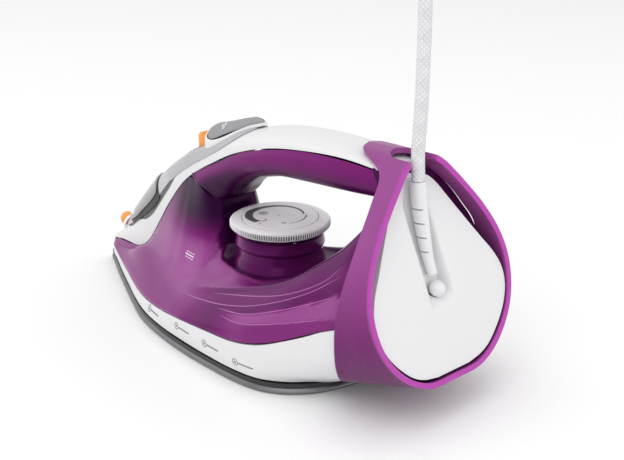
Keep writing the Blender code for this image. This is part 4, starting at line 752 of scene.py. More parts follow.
def build_stage():
    """Camera at the photograph's angle, soft lights and a pale floor."""
    azimuth, elevation = math.radians(226.35), math.radians(20.77)
    back = Vector((math.sin(azimuth) * math.cos(elevation),
                   -math.cos(azimuth) * math.cos(elevation), math.sin(elevation)))
    right = Vector((0, 0, 1)).cross(back).normalized()
    turn = Matrix((right, back.cross(right), back)).transposed().to_4x4()
    turn.translation = Vector((-0.5122, 0.4465, 0.3177))
    lens = bpy.data.cameras.new("camera")
    lens.lens = 72.1
    lens.sensor_width = 36.0
    lens.clip_start = 0.01
    camera = bpy.data.objects.new("camera", lens)
    camera.matrix_world = turn
    bpy.context.scene.collection.objects.link(camera)
    bpy.context.scene.camera = camera

    bpy.context.scene.view_settings.view_transform = "Standard"
    for name, place, size, power in (("key", (-0.9, 1.3, 1.5), 2.2, 11.0),
                                     ("top", (0.2, 0.1, 1.7), 2.0, 6.0),
                                     ("side", (-1.5, -0.7, 0.9), 1.8, 5.0),
                                     ("nose", (1.5, 0.9, 0.9), 1.6, 4.0)):
        lamp = bpy.data.lights.new(name, "AREA")
        lamp.shape = "DISK"
        lamp.size = size
        lamp.energy = power
        light = bpy.data.objects.new(name, lamp)
        light.location = place
        aim = Vector((0, 0, 0.06)) - Vector(place)
        light.rotation_euler = aim.to_track_quat("-Z", "Y").to_euler()
        bpy.context.scene.collection.objects.link(light)

    world = bpy.data.worlds.new("studio")
    world.use_nodes = True
    sky = world.node_tree.nodes["Background"]
    sky.inputs["Color"].default_value = (1.0, 1.0, 1.0, 1.0)
    sky.inputs["Strength"].default_value = 0.75
    bpy.context.scene.world = world

    shape = bmesh.new()
    bmesh.ops.create_grid(shape, x_segments=8, y_segments=8, size=4.0)
    mesh = bpy.data.meshes.new("floor")
    shape.to_mesh(mesh)
    shape.free()
    floor = bpy.data.objects.new("floor", mesh)
    floor.location = (0, 0, -0.0002)
    bpy.context.scene.collection.objects.link(floor)
    mesh.materials.append(moulded("floor", (0.96, 0.96, 0.96), 0.6, tint=0.005, edge_highlight=0.0,
                                  bump=0.0))


# ---------------------------------------------------------------- cord

def build_cord():
    """Braided cord, strain relief with its slots, swivel ball and mains plug."""
    path = spline(CORD_ROUTE, 5)
    sides = 40
    rows = []
    travelled = 0.0
    verts = []
    shape = bmesh.new()
    layer = shape.loops.layers.uv.new("braid")
    cell = 2 * math.pi * CORD_R / 8
    for i, point in enumerate(path):
        if i:
            travelled += np.linalg.norm(point - path[i - 1])
        run = Vector(path[min(i + 1, len(path) - 1)] - path[max(i - 1, 0)]).normalized()
        turn = Vector((0, 0, 1)).rotation_difference(run)
        ring = []
        for k in range(sides):
            u = 8 * k / sides
            v = travelled / cell
            weave = abs(math.sin(math.pi * (u + v)) * math.sin(math.pi * (u - v)))
            radius = CORD_R - 0.12 + 0.12 * weave
            angle = 2 * math.pi * k / sides
            offset = turn @ Vector((radius * math.cos(angle), radius * math.sin(angle), 0))
            ring.append(shape.verts.new((Vector(point) + offset) * MM))
        rows.append(travelled / cell)
        verts.append(ring)
    for i in range(len(verts) - 1):
        for j in range(sides):
            k = (j + 1) % sides
            face = shape.faces.new((verts[i][j], verts[i][k], verts[i + 1][k], verts[i + 1][j]))
            ends = ((j, rows[i]), (j + 1, rows[i]), (j + 1, rows[i + 1]), (j, rows[i + 1]))
            for corner, (across, along) in zip(face.loops, ends):
                corner[layer].uv = (8 * across / sides, along)
    shape.faces.new(verts[0][::-1])
    shape.faces.new(verts[-1])
    cord = piece("braided_cord", shape, "textile", "cord", ["power_cord"], angle=60)

    loops = []
    half_turn = 2 * math.pi / 28
    axis = spline(BOOT, 5)
    for i, (z, x, y, radius) in enumerate(axis):
        before = axis[max(i - 1, 0)]
        after = axis[min(i + 1, len(axis) - 1)]
        run = Vector((after[1] - before[1], after[2] - before[2], after[0] - before[0]))
        turn = Vector((0, 0, 1)).rotation_difference(run.normalized())
        loops.append([Vector((x, y, z)) + turn @ Vector((radius * math.cos(half_turn * k),
                                                         radius * math.sin(half_turn * k), 0))
                      for k in range(28)])
    boot = piece("strain_relief_sleeve", loops_shape(loops), "white_plastic", None,
                 ["strain_relief"], angle=50)
    cutters = []
    for i in range(9):
        z = 110.5 - 3.7 * i
        x, y, radius = [float(np.interp(z, axis[:, 0], axis[:, k])) for k in (1, 2, 3)]
        side = 1 if i % 2 else -1
        low = y + side * radius * 0.4
        high = y + side * 9.0
        cutters.append(box_shape((x - 8, min(low, high), z), (x + 8, max(low, high), z + 0.8)))
    carve(boot, cutters, 50)
    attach(boot, "cord")

    ball = [(KNOB_R * math.sin(a), KNOB_R * math.cos(a)) for a in np.linspace(0, math.pi, 25)]
    ball[0], ball[-1] = (0, KNOB_R), (0, -KNOB_R)
    lean = (BOOT[1][1] - PIVOT[0], BOOT[1][2] - PIVOT[1], BOOT[1][0] - PIVOT[2])
    shape = lathe_shape(ball, PIVOT, lean, 48)
    piece("swivel_ball", shape, "white_plastic", "cord", ["cord_swivel"])

    top = Vector(CORD_ROUTE[-1])
    grips = [(0, 36), (13.5, 36), (16.5, 33), (16.5, 22)]
    for k in range(4):
        z = 20.0 - 2.6 * k
        r = 16.5 - 1.6 * (22 - z) / 2.6
        grips += [(r, z), (r - 0.6, z - 0.5), (r - 0.6, z - 1.2), (r - 0.5, z - 1.4)]
    grips += [(6.5, 8), (5.2, 0.4), (0, 0.4)]
    plug = lathe("mains_plug", grips, "white_plastic", top, body="cord", radius=0.8,
                 replaces=["plug_body"], sides=72)
    for name, side in (("left", 1), ("right", -1)):
        lathe("pin_" + name, [(0, 19), (1.5, 18.7), (2.2, 17.6), (2.4, 16), (2.4, 8),
                                          (2.2, 7.8), (2.2, 0), (0, 0)], "steel",
                          top + Vector((0, 9.5 * side, 36.4)), body="cord", radius=0.3,
                          replaces=["plug_pin_" + name], sides=32)


# ---------------------------------------------------------------- soleplate group

def half_width(x):
    """Half width of the soleplate outline at x."""
    table = sorted(SOLE_OUTLINE[:-1])
    return float(np.interp(x, [p[0] for p in table], [p[1] for p in table]))


def sole_loop(inset, z, steps=5):
    """Soleplate outline, moved inwards by inset, at height z."""
    loop = mirrored_loop(spline(SOLE_OUTLINE, steps))
    ahead = np.roll(loop, -1, axis=0) - np.roll(loop, 1, axis=0)
    normal = np.stack([-ahead[:, 1], ahead[:, 0]], axis=1)
    normal /= np.linalg.norm(normal, axis=1)[:, None]
    flip = np.sign(((loop.mean(axis=0) - loop) * normal).sum(axis=1).sum())
    return [(x, y, z) for x, y in loop + flip * inset * normal]


def plate_loop(margin, front, rear, count, z):
    """Closed loop at height z inside the soleplate outline by margin."""
    stations = [(x, max(half_width(x) - margin, 3.0)) for x in np.linspace(front, rear, count)]
    left = [(x, y, z) for x, y in stations]
    right = [(x, -y, z) for x, y in reversed(stations)]
    return [(front + 1.5, 0, z)] + left + [(rear - 1.5, 0, z)] + right


def steam_holes():
    """Steam outlets: a chevron of pairs behind the tip and a row along each side."""
    places = [(118, 0)]
    for i in range(4):
        places += [(104 - 13 * i, 5 + 6.2 * i), (104 - 13 * i, -5 - 6.2 * i)]
    for i in range(3):
        places += [(46 - 17 * i, 34 + 2.4 * i), (46 - 17 * i, -34 - 2.4 * i)]
    return places


def build_sole():
    """Bevelled soleplate with countersunk steam holes, and the black heat shield."""
    profile = [(1.3, 0.0), (0.8, 0.12), (0.4, 0.4), (0.12, 0.8), (0.0, 1.3), (0.15, 1.9),
               (0.7, 2.7), (1.2, SOLE_TOP)]
    sole = piece("sole_skin", loops_shape([sole_loop(inset, z) for inset, z in profile]),
                 "soleplate", replaces=["soleplate"], angle=25)
    cutters = []
    for x, y in steam_holes():
        cutters.append(lathe_shape([(0, 5), (1.5, 5), (1.5, 0.5), (2.3, -0.3), (0, -0.3)],
                                   (x, y, 0), sides=20))
    carve(sole, cutters, 25)
    band = [(0.95, SHIELD_BOTTOM), (0.7, SHIELD_BOTTOM + 0.25), (0.7, SHIELD_TOP - 0.3),
            (1.0, SHIELD_TOP)]
    shield = piece("shield_band", loops_shape([sole_loop(inset, z) for inset, z in band]),
                   "black_plastic", replaces=["heat_shield"], angle=25)
    carve(shield, [loops_shape([plate_loop(8.0, 124.0, -84.0, 14, 2.0),
                                plate_loop(8.0, 124.0, -84.0, 14, 8.0)])], 25)


# ---------------------------------------------------------------- body shells

def build_skirt():
    """White skirt with small generic rings and bars along its side."""
    skirt = shell("skirt_shell", [net(SKIRT_STATIONS, 6, 5)], "white_plastic", WALL,
                  (0, 0, 15), ["skirt"])
    freeze(skirt)
    tree = surface_of(skirt)
    for i, (x, z) in enumerate(((43.1, 11.9), (8.0, 14.6), (-20.0, 14.3), (-46.8, 12.8))):
        grids = [arc((0, 0), 1.9, 0, 360, 0.45)]
        grids += [bar(2.6 + 1.5 * k, 0, 3.8 + 1.5 * k, 0, 0.9) for k in range(0, 7)]
        grids += [arc((0, 0), 0.5, 0, 360, 0.5)]
        printed("skirt_mark_%d" % (i + 1), tree, (x, 40, z), (-1, 0, 0), (0, 0, 1), grids,
                "white_plastic", "dark_grey", lift=0.05)


def line_z(line, x):
    """Height of a flank line at x."""
    return float(np.interp(-x, -line[:, 0], line[:, 1]))


def smooth(value, low, high):
    """Smooth step from 0 at low to 1 at high."""
    t = min(max((value - low) / (high - low), 0.0), 1.0)
    return t * t * (3 - 2 * t)


def painted_tank_light_and_shade(x, y, z):
    """Painted light and shade of the tank: flat facets on the flank, a dark core under the handle.
    """
    side = abs(y)
    flank = 0.36
    for line, step in zip(FLANK, (-0.03, 0.06, -0.42, 0.20)):
        reach = smooth(-x, -line[0][0] - 4.0, -line[0][0] + 26.0)
        flank += -step * reach * (1 - smooth(z, line_z(line, x) - 0.4, line_z(line, x) + 0.4))
    # Painted light on the front, and painted shade in the core where the column runs under the
    # handle
    front = 0.64 + 0.16 * smooth(z, 24, 32) * (1 - smooth(z, 42, 62)) * (1 - smooth(x, 50, 100))
    front -= 0.72 * smooth(z, 46, 74) * (1 - smooth(x, 40, 80))
    front += 0.06 * smooth(x, 84, 112)
    painted_light_and_shade = flank + (front - flank) * smooth(x, -26, 26)
    # Painted light on the ledge, painted shade in the bowl under the dial
    if x < 16 and side < 43:
        ledge = 0.74 * (1 - smooth(-x, 10, 60)) + 0.30 * smooth(-x, 10, 60)
        bowl = 0.14 + 0.20 * smooth(-x, 50, 95)
        rim = float(np.interp(-x, [-13, -4, 10, 24, 39, 56, 73], [18, 25.5, 28.4, 31.6, 34.4, 36.6,
                                                                 37.6]))
        inner = 1 - smooth(side, rim - 1.0, rim + 1.2)
        painted_light_and_shade = ledge + (bowl - ledge) * inner
        painted_light_and_shade *= 1 - 0.8 * smooth(z, 52, 66) * smooth(x, 0, 13)
    return min(max(painted_light_and_shade, 0.0), 1.0)


def build_tank():
    """Tank with painted highlights along the moulded lines on its flanks, and its level mark."""
    fine = 10
    front = net([with_lip(row) for row in TANK_FRONT], 4, fine)
    rear = net([with_lip(row) for row in TANK_REAR], 5, fine)
    corner = 5 * fine
    left = front[-1, corner:]
    bottom = rear[0, corner:]
    right = left * np.array([1, 0, 1])
    right[0] = bottom[-1]
    top = np.linspace(left[-1], right[-1], len(bottom))
    wall = patch(left, bottom, right, top)
    tank = shell("tank_shell", [front, rear, wall], "tank_plastic", WALL, (-10, 0, 25),
                 ["water_tank"], angle=45)
    carve(tank, [lathe_shape([(0, 50), (4.6, 50), (4.6, 36), (0, 36)], (DIAL_X, 0, 0),
                             sides=48)], 45)
    paint_light_and_shade(tank, painted_tank_light_and_shade)
    tree = surface_of(tank)
    # Pale ribbons along the moulded lines: painted highlights where the lines catch the light
    for side, turn in (("left", -1), ("right", 1)):
        for i, line in enumerate(FLANK):
            rows = []
            for k, (x, z) in enumerate(line):
                half = 0.2 * min(1.0, 0.15 + k / 6, 0.15 + (len(line) - 1 - k) / 6)
                rows.append([(x * turn, z - half), (x * turn, z), (x * turn, z + half)])
            printed("%s_flank_line_%d" % (side, i + 1), tree, (0, -40 * turn, 0), (turn, 0, 0),
                    (0, 0, 1), [np.array(rows)], "tank_plastic", "flank_line_highlight", lift=0.06)
    marks = [bar(-4.5, 0, 4.5, 0, 0.5, 12)]
    marks += [bar(-3.4 + 2.2 * k, 1.4, -2.2 + 2.2 * k, 1.4, 0.45) for k in range(4)]
    marks += [bar(-3.4 + 2.2 * k, -1.4, -2.2 + 2.2 * k, -1.4, 0.45) for k in range(4)]
    printed("level_mark", tree, (31, 40, 43.3), (-1, 0, 0), (0, 0, 1), marks, "white_plastic",
            "print_white", lift=0.06)


def cover_point(row, y, lift=0.0):
    """Point on the cover at a row (0 at the nose) and a y, raised by lift along its normal."""
    at = row * ACROSS
    sx, sy, sz, cx, cz = [np.interp(at, range(len(COVER_TABLE)), COVER_TABLE[:, k])
                          for k in range(5)]
    share = min(abs(y) / sy, 1.0)
    depth = (1 - share ** COVER_POWER) ** (1 / COVER_POWER)
    up = np.array([cx - sx, 0.0, cz - sz])
    height = np.linalg.norm(up)
    slope = share ** (COVER_POWER - 1) * height / sy
    normal = up / height + np.array([0, math.copysign(min(slope, 3.0), y) if y else 0.0, 0])
    normal /= np.linalg.norm(normal)
    return np.array([sx, y, sz]) + up * depth + normal * lift


def cover_row(x):
    """Row of the cover whose crest is at x."""
    return float(np.interp(-x, -COVER_TABLE[:, 3], np.arange(len(COVER_TABLE)) / ACROSS))


def on_cover(name, stations, slot, low, high, edge=0.9, replaces=(), steps=6, finish=None,
             body="iron"):
    """Closed strip on the cover's crest from stations of (crest x, half width), soft at its edge."""
    shares = [1.0, 0.97, 0.92, 0.84, 0.7, 0.5, 0.25, 0.0]
    signed = shares + [-share for share in shares[-2::-1]]
    loops = []
    table = spline(stations, steps)
    for i, (x, half) in enumerate(table):
        row = cover_row(x)
        ends = min(i, len(table) - 1 - i)
        tip = 1 - max(0.0, 1 - ends / 3.0) ** 2 * 0.7
        top = []
        for share in signed:
            inset = min(half * (1 - abs(share)) / edge, 1.0)
            lift = low + (high - low) * tip * (0.35 + 0.65 * math.sqrt(inset * (2 - inset)))
            top.append(cover_point(row, half * share, lift))
        under = [cover_point(row, half * share, low) for share in signed]
        loops.append(top + under[-2:0:-1])
    return piece(name, loops_shape(loops), slot, body, replaces, finish=finish)


def painted_handle_light_and_shade(x, y, z):
    """Painted light and shade of the handle shell: painted light along the cover, painted shade
    beneath.
    """
    top = float(np.interp(-x, [-44, -26, 8, 24, 52, 84, 110],
                          [86.3, 97, 113, 117.5, 123, 125, 123.4]))
    low = 0.50 - 0.28 * smooth(top - z, 3, 16)
    return low * (1 - 0.9 * smooth(x, -16, 16) * smooth(top - z, 3, 12))


def build_handle():
    """Purple handle shell and the white cover over nose and handle."""
    shell("handle_shell", [net(HANDLE_STATIONS, 6, 6)], "purple_plastic", WALL, (-20, 0, 115),
          ["handle_lower_shell"])
    paint_light_and_shade(freeze(bpy.data.objects["handle_shell"]), painted_handle_light_and_shade)
    seam = spline(HANDLE_STATIONS[0], 6)
    inner = seam * np.array([1, 0.985, 1])
    joint = shell("handle_joint", [np.array([inner + np.array([0.3, 0, 1.6]),
                                             inner - np.array([0, 0, 0.4]),
                                             inner - np.array([0.3, 0, 2.4])])],
                  "purple_plastic", 1.0, (10, 0, 70), [])
    # Painted shade: the joint is kept as dark as the shade in the seam under the handle
    paint_light_and_shade(freeze(joint), lambda x, y, z: 0.1)
    shares = [math.sin(a) for a in np.linspace(math.pi / 2, 0, 15)]
    rows = []
    for row in np.arange(len(COVER_TABLE)) / ACROSS:
        width = float(np.interp(row * ACROSS, range(len(COVER_TABLE)), COVER_TABLE[:, 1]))
        rows.append([cover_point(row, width * share) for share in shares])
    cover = shell("cover_shell", [np.array(rows)], "white_plastic", WALL, (20, 0, 30),
                  ["handle_cover"])
    tree = surface_of(cover)
    ball = Vector(NOZZLE)
    nose = Vector((1.0, 0, 0.35)).normalized()
    well = [(x, y) for x, y in key_outline(0.7) if x > -2.0 and y > 0.01]
    well = sorted(well, reverse=True)
    loop = [(well[0][0] + 1.0, 0)] + well + [(well[-1][0] - 0.8, 0)]
    loop += [(x, -y) for x, y in reversed(well)]
    carve(cover, [slope_box(MOUTH, (17.0, 7.4, 12)),
                  box_shape((43.9, -2.6, 90), (61.0, 2.6, 120)),
                  loops_shape([[(x, y, z) for x, y in loop] for z in (90, 132)]),
                  lathe_shape([(0, 2.4), (4.9, 2.4), (4.9, -14), (0, -14)], ball, nose, 48)])
    return tree


def ring_grid():
    """Outer surface of the heel ring, from the front edge to the rear lip."""
    rear = [(LIP_X + LIP_LEAN * z, y, z) for y, z in RING_REAR]
    rows = [np.array(RING_FRONT), None, np.array(rear)]
    rows[1] = (rows[0] + rows[2]) / 2
    rows[1][:, 1] *= 1.01
    rows = [spline(row, 10) for row in rows]
    return np.array([[a, b, c] for a, b, c in zip(*rows)])


def painted_ring_light(x, y, z):
    """Painted light of the ring: paler towards its top, with a painted highlight on the rear lip."""
    body = 0.36 + 0.40 * smooth(z, 25, 100)
    lip = 1 - smooth(x - (LIP_X + LIP_LEAN * z), 0.6, 1.8)
    return body + (0.94 - body) * lip


def build_ring():
    """Purple heel ring with the notch for the cord and a softened lip."""
    grid = np.array([spline(row, 10) for row in ring_grid()])
    ring = shell("ring_shell", [grid], "purple_plastic", RING_WALL, (-125, 0, 65),
                 ["heel_ring"], angle=40)
    front = NOTCH_FRONT - NOTCH_HALF
    carve(ring, [lathe_shape([(0, 142), (NOTCH_HALF, 142), (NOTCH_HALF, 116), (0, 116)],
                             (front, 0, 0), sides=72),
                 box_shape((-142, -NOTCH_HALF, 117), (front, NOTCH_HALF, 141))], 40)
    edge = ring.modifiers.new("soft_edge", "BEVEL")
    edge.width = 0.6 * MM
    edge.segments = 3
    edge.limit_method = "ANGLE"
    edge.angle_limit = math.radians(55)
    paint_light_and_shade(freeze(ring, 40), painted_ring_light)


def cover_recess(z):
    """How far the rear cover's face lies in front of the ring's lip at height z."""
    t = min(max((z - 52.0) / 68.0, 0.0), 1.0)
    return 1.4 + 7.6 * t * t * (3 - 2 * t)


def boot_axis(z):
    """X, Y and radius of the strain relief at height z, running on to the swivel below it."""
    table = [(PIVOT[2], PIVOT[0], PIVOT[1], 5.0)] + BOOT
    heights = [row[0] for row in table]
    return [float(np.interp(z, heights, [row[k] for row in table])) for k in (1, 2, 3)]


def rear_cover_row(z):
    """Row of points across the rear cover at height z, with the channel for the strain relief."""
    outline = spline(REAR_COVER_OUTLINE, 6)[::-1]
    half = max(float(np.interp(z, outline[:, 1], outline[:, 0])), 5.0)
    narrow = min(1.0, half / 20.0)
    axis_x, axis_y, radius = boot_axis(z)
    axis_y *= narrow
    face = LIP_X + LIP_LEAN * z + cover_recess(z)
    depth = 0.0
    if 58.0 < z < 118.0:
        depth = max(0.0, axis_x + radius + 1.3 - face) * smooth(z, 57.0, 68.0)
    row = []
    for side in (1, -1):
        edge = axis_y + side * 9.2 * narrow
        ys = [edge + (side * half - edge) * (1 - j / 14) for j in range(14)]
        ys += [axis_y + side * off * narrow for off in (9.2, 8.8, 8.2, 7.6, 7.0, 6.4, 5.9, 5.4,
                                                        4.0, 2.0)]
        line = []
        for y in ys:
            t = min(max((9.2 * narrow - abs(y - axis_y)) / (3.4 * narrow), 0.0), 1.0)
            line.append((face + depth * t * t * (3 - 2 * t), y, z))
        row.append(line)
    return row[0] + [(face + depth, axis_y, z)] + row[1][::-1]


def build_rear_cover():
    """White rear cover, recessed in the ring, with the swivel socket and its channel."""
    levels = list(np.linspace(25.0, 60.0, 26)) + list(np.linspace(61.5, 121.4, 46))
    shape = bmesh.new()
    add_grid(shape, np.array([rear_cover_row(z) for z in levels]))
    bmesh.ops.recalc_face_normals(shape, faces=shape.faces)
    if sum(face.normal.x * face.calc_area() for face in shape.faces) > 0:
        bmesh.ops.reverse_faces(shape, faces=shape.faces)
    rim = [edge for edge in shape.edges if edge.is_boundary]
    grown = bmesh.ops.extrude_edge_only(shape, edges=rim)["geom"]
    moved = [part for part in grown if isinstance(part, bmesh.types.BMVert)]
    bmesh.ops.translate(shape, vec=(4.6 * MM, 0, 0), verts=moved)
    bmesh.ops.recalc_face_normals(shape, faces=shape.faces)
    if sum(face.normal.x * face.calc_area() for face in shape.faces) > 0:
        bmesh.ops.reverse_faces(shape, faces=shape.faces)
    cover = piece("rear_cover_shell", shape, "white_plastic", replaces=["rear_cover"])
    solid = cover.modifiers.new("wall", "SOLIDIFY")
    solid.thickness = WALL * MM
    solid.offset = -1.0
    solid.use_even_offset = True
    hole = KNOB_R + 0.35
    carve(cover, [lathe_shape([(0, 15), (hole, 15), (hole, -15), (0, -15)], (-137, 0, 66),
                              (30, 0, -3), 56)])
    lathe("socket_plate", [(0, 7.2), (6.8, 7.2), (6.8, 5.6), (0, 5.6)], "white_plastic", PIVOT,
          (1, 0, 0), 56, radius=0.3)

    ring = spline([(y, z) for x, y, z in RING_FRONT], 10)
    front_x = spline(RING_FRONT, 10)[:, 0]
    rim = spline(REAR_COVER_OUTLINE, 10)
    share = np.linspace(0, 1, 90)
    outer = np.stack([np.interp(share, np.linspace(0, 1, len(ring)), values)
                      for values in (front_x, ring[:, 0] * 0.94, ring[:, 1])], axis=1)
    inner = np.stack([np.interp(share, np.linspace(0, 1, len(rim)), rim[:, k]) for k in (0, 1)],
                     axis=1)
    inner = [(LIP_X + LIP_LEAN * z + cover_recess(z) + 4.0, max(y - 0.8, 0.0), z)
             for y, z in inner]
    grid = np.array([[a, b] for a, b in zip(outer * np.array([1, 1, 0.98]), inner)])
    grid = grid[(grid[:, :, 1].min(axis=1) > 13.0) | (grid[:, :, 2].max(axis=1) < 60.0)]
    liner = shell("ring_liner", [grid[grid[:, 0, 2] > 22.0]], "purple_plastic", 1.2,
                  (-60, 0, 65), [])
    # Painted shade: the liner inside the ring is kept dark as a recess in shade
    paint_light_and_shade(freeze(liner), lambda x, y, z: 0.16)


# ---------------------------------------------------------------- controls

def build_dial():
    """Knurled dial with a generic heat scale, its collar and the pointer beneath its rim."""
    def knurl(angle, r, z):
        if r < DIAL_R - 0.9 or z > -1.8 or z < -4.8:
            return r
        return r - 1.2 * (0.5 - 0.5 * math.cos(DIAL_TEETH * angle)) ** 0.8

    profile = [(3.6, -1.6), (22.0, -1.6), (22.0, -0.2), (24.6, -0.4), (27.4, -1.1), (DIAL_R, -2.1),
               (DIAL_R, -4.5), (27.2, -DIAL_DEPTH), (3.6, -DIAL_DEPTH)]
    lathe("dial_body", profile, "pale_plastic", (DIAL_X, 0, DIAL_TOP), sides=DIAL_TEETH * 4,
          body="dial", replaces=["temperature_dial"], radius=0.4, radius_of=knurl)
    shape = bmesh.new()
    for k in range(DIAL_TEETH):
        angle = 2 * math.pi * (k + 0.5) / DIAL_TEETH
        ray = Vector((math.cos(angle), math.sin(angle), 0))
        wide = Vector((-math.sin(angle), math.cos(angle), 0)) * 0.17
        foot = Vector((DIAL_X, 0, DIAL_TOP))
        ends = []
        for z in (-2.2, -4.6):
            for r in (DIAL_R - 1.3, DIAL_R - 0.42):
                for side in (-1, 1):
                    ends.append(shape.verts.new((foot + ray * r + wide * side
                                                 + Vector((0, 0, z))) * MM))
        for quad in ((0, 1, 3, 2), (4, 6, 7, 5), (0, 2, 6, 4), (1, 5, 7, 3), (0, 4, 5, 1),
                     (2, 3, 7, 6)):
            shape.faces.new([ends[i] for i in quad])
    piece("knurl_shadow", shape, "pale_plastic", "dial", finish="dark_grey")
    disc = lathe("dial_face", [(0, 0), (21.6, 0), (21.6, -1.2), (0, -1.2)], "pale_plastic",
                 (DIAL_X, 0, DIAL_TOP - 0.05), sides=96, body="dial", replaces=["dial_disc"],
                 radius=0.3)
    tree = surface_of(disc)
    scale = [arc((0, 0), [15.8, 17.6, 18.3, 17.4, 16.8, 16.2, 15.0, 13.6], 84, -205,
                 [3.6, 4.6, 4.4, 3.2, 2.4, 1.9, 1.5, 1.1], count=60),
             arc((0, 0), [14.9, 14.2, 13.4], 84 - 212, -72, [1.0, 0.6, 0.25], count=30),
             arc((2.6, 11.6), 2.4, 60, 190, 0.7),
             arc((-2.6, 16.0), 1.6, -30, 110, 0.35),
             bar(1.0, -1.1, 1.0, 1.1, 0.35)]
    scale += [arc((9.8, 3.8), r, 0, 360, 0.32) for r in (0.7, 1.6, 2.5)]
    square = [(-10.8, 5.2), (-8.8, 5.2), (-8.8, 7.2), (-10.8, 7.2), (-10.8, 5.2)]
    scale += [bar(*a, *b, 0.35) for a, b in zip(square, square[1:])]
    printed("dial_scale", tree, (DIAL_X, 0, DIAL_TOP), (1, 0, 0), (0, 1, 0), scale,
            "pale_plastic", "print_grey", "dial", 0.05)
    collar = [(4.6, 65.8), (22.0, 65.8), (24.6, 64.8), (25.6, 59.2), (25.0, 58.0), (23.8, 57.4),
              (24.6, 52.0), (26.6, 47.0), (26.8, COLLAR_FLOOR), (24.0, COLLAR_FLOOR),
              (21.4, 63.2), (4.6, 63.2)]
    skirt = lathe("collar_skirt", collar, "purple_plastic", (DIAL_X, 0, 0), sides=96,
                  replaces=["dial_collar"], radius=0.6, finish="tank_plastic")
    # Painted light and shade: the collar is paler at its front and darker under the dial's rim
    paint_light_and_shade(skirt, lambda x, y, z: 0.30 + 0.35 * smooth(x, DIAL_X - 4, DIAL_X + 20) * smooth(z, 55, 59)
          - 0.1 * smooth(z, 62, 66))
    direction = math.radians(158)
    tip = (DIAL_X + 21.9 * math.cos(direction), 21.9 * math.sin(direction), 63.6)
    lathe("dial_pointer", [(0, 1.9), (1.5, 1.9), (1.7, 0), (0, 0)], "white_plastic", tip,
          sides=32, radius=0.3)
    lens = (DIAL_X - COLLAR_R - 6.5, 9.5, 46.0)
    lathe("lamp_window", [(0, 3.2), (1.8, 2.8), (2.6, 1.6), (2.6, 0), (0, 0)], "clear_plastic",
          lens, sides=40, replaces=["indicator_lens"], radius=0.5)


def build_nose():
    """Nose panel, filler door, painted shadow in the gaps round them, and the spray nozzle."""
    leaf = [(127.0, 1.6), (126.4, 3.8), (125.0, 5.4), (121.0, 6.8), (114.0, 8.1), (108.0, 9.7),
            (101.6, 10.4), (92.0, 11.0), (83.0, 11.4), (74.0, 11.6), (68.0, 11.2), (64.8, 9.4),
            (63.0, 6.6), (61.9, 2.8)]
    # Painted shadow: a dark band just outside the leaf stands for the shadow in the gap round it
    on_cover("leaf_gap_shadow", [(x, half + 0.5) for x, half in leaf], "clear_plastic", 0.1, 0.3,
             edge=0.4, finish="dark_grey")
    panel = on_cover("nose_leaf", leaf, "clear_plastic", 0.3, 0.95, replaces=["nose_panel"])
    ball = Vector(NOZZLE)
    nose = Vector((1.0, 0, 0.35)).normalized()
    carve(panel, [slope_box(MOUTH, (17.0, 7.4, 12)),
                  lathe_shape([(0, 2.4), (4.9, 2.4), (4.9, -14), (0, -14)], ball, nose, 48)])
    # Painted shadow: black sheet under the door that shows in the gap round it
    door_shadow = on_cover("door_gap_shadow", DOOR_GAP_SHADOW, "black_plastic", 0.85, 1.12, edge=0.3)
    carve(door_shadow, [slope_box(MOUTH, (17.0, 7.4, 12))])
    carve(bpy.data.objects["leaf_gap_shadow"], [
        slope_box(MOUTH, (17.0, 7.4, 12)),
        lathe_shape([(0, 2.4), (4.9, 2.4), (4.9, -14), (0, -14)], ball, nose, 48)])
    on_cover("filler_door", DOOR_LINE, "grey_plastic", 1.2, 2.2, edge=0.6,
             replaces=["filler_lid"], body="lid", finish="door_plastic")
    on_cover("door_grip", [(119.4, 3.6), (118.2, 5.2), (115.4, 6.4), (114.4, 6.0)],
             "grey_plastic", 2.0, 2.6, edge=0.5, body="lid", finish="pale_plastic")
    lathe("nozzle_tip", [(0, 5.0), (0.7, 5.0), (0.8, 4.0), (1.8, 4.9), (3.4, 4.0), (4.4, 2.2),
                         (4.6, 0.2), (3.8, -2.2), (2.2, -3.2), (0, -3.2)], "orange_plastic", ball,
          nose, 56, replaces=["spray_nozzle"], radius=0.5)
    lathe("nozzle_bezel", [(4.75, -1.6), (5.5, -2.4), (5.7, -4.4), (4.75, -4.4)], "pale_plastic",
          ball, nose, 56, radius=0.5)


def key_outline(margin=0.0, steps=6):
    """Teardrop of the keys, (x, y), blunt in front and pointed behind."""
    half = [(39.6, 0), (38.9, 4.6), (36.4, 8.2), (32.0, 10.1), (26.5, 10.5), (19.0, 9.7),
            (10.0, 7.4), (1.0, 4.4), (-5.4, 1.6), (-6.8, 0)]
    loop = mirrored_loop(spline(half, steps))
    centre = np.array([20.0, 0.0])
    span = np.array([25.0, 10.3])
    return [tuple(centre + (np.array(p) - centre) * (1 - margin / span)) for p in loop]


def key_z(x, y=0.0):
    """Height of the keys' rim at x, falling away to the sides."""
    return -5.5 * (y / 10) ** 2 + float(np.interp(x, [-7, 2, 12, 24, 36, 44], [127.6, 125.9, 123.0, 119.0, 115.4, 113.6]))


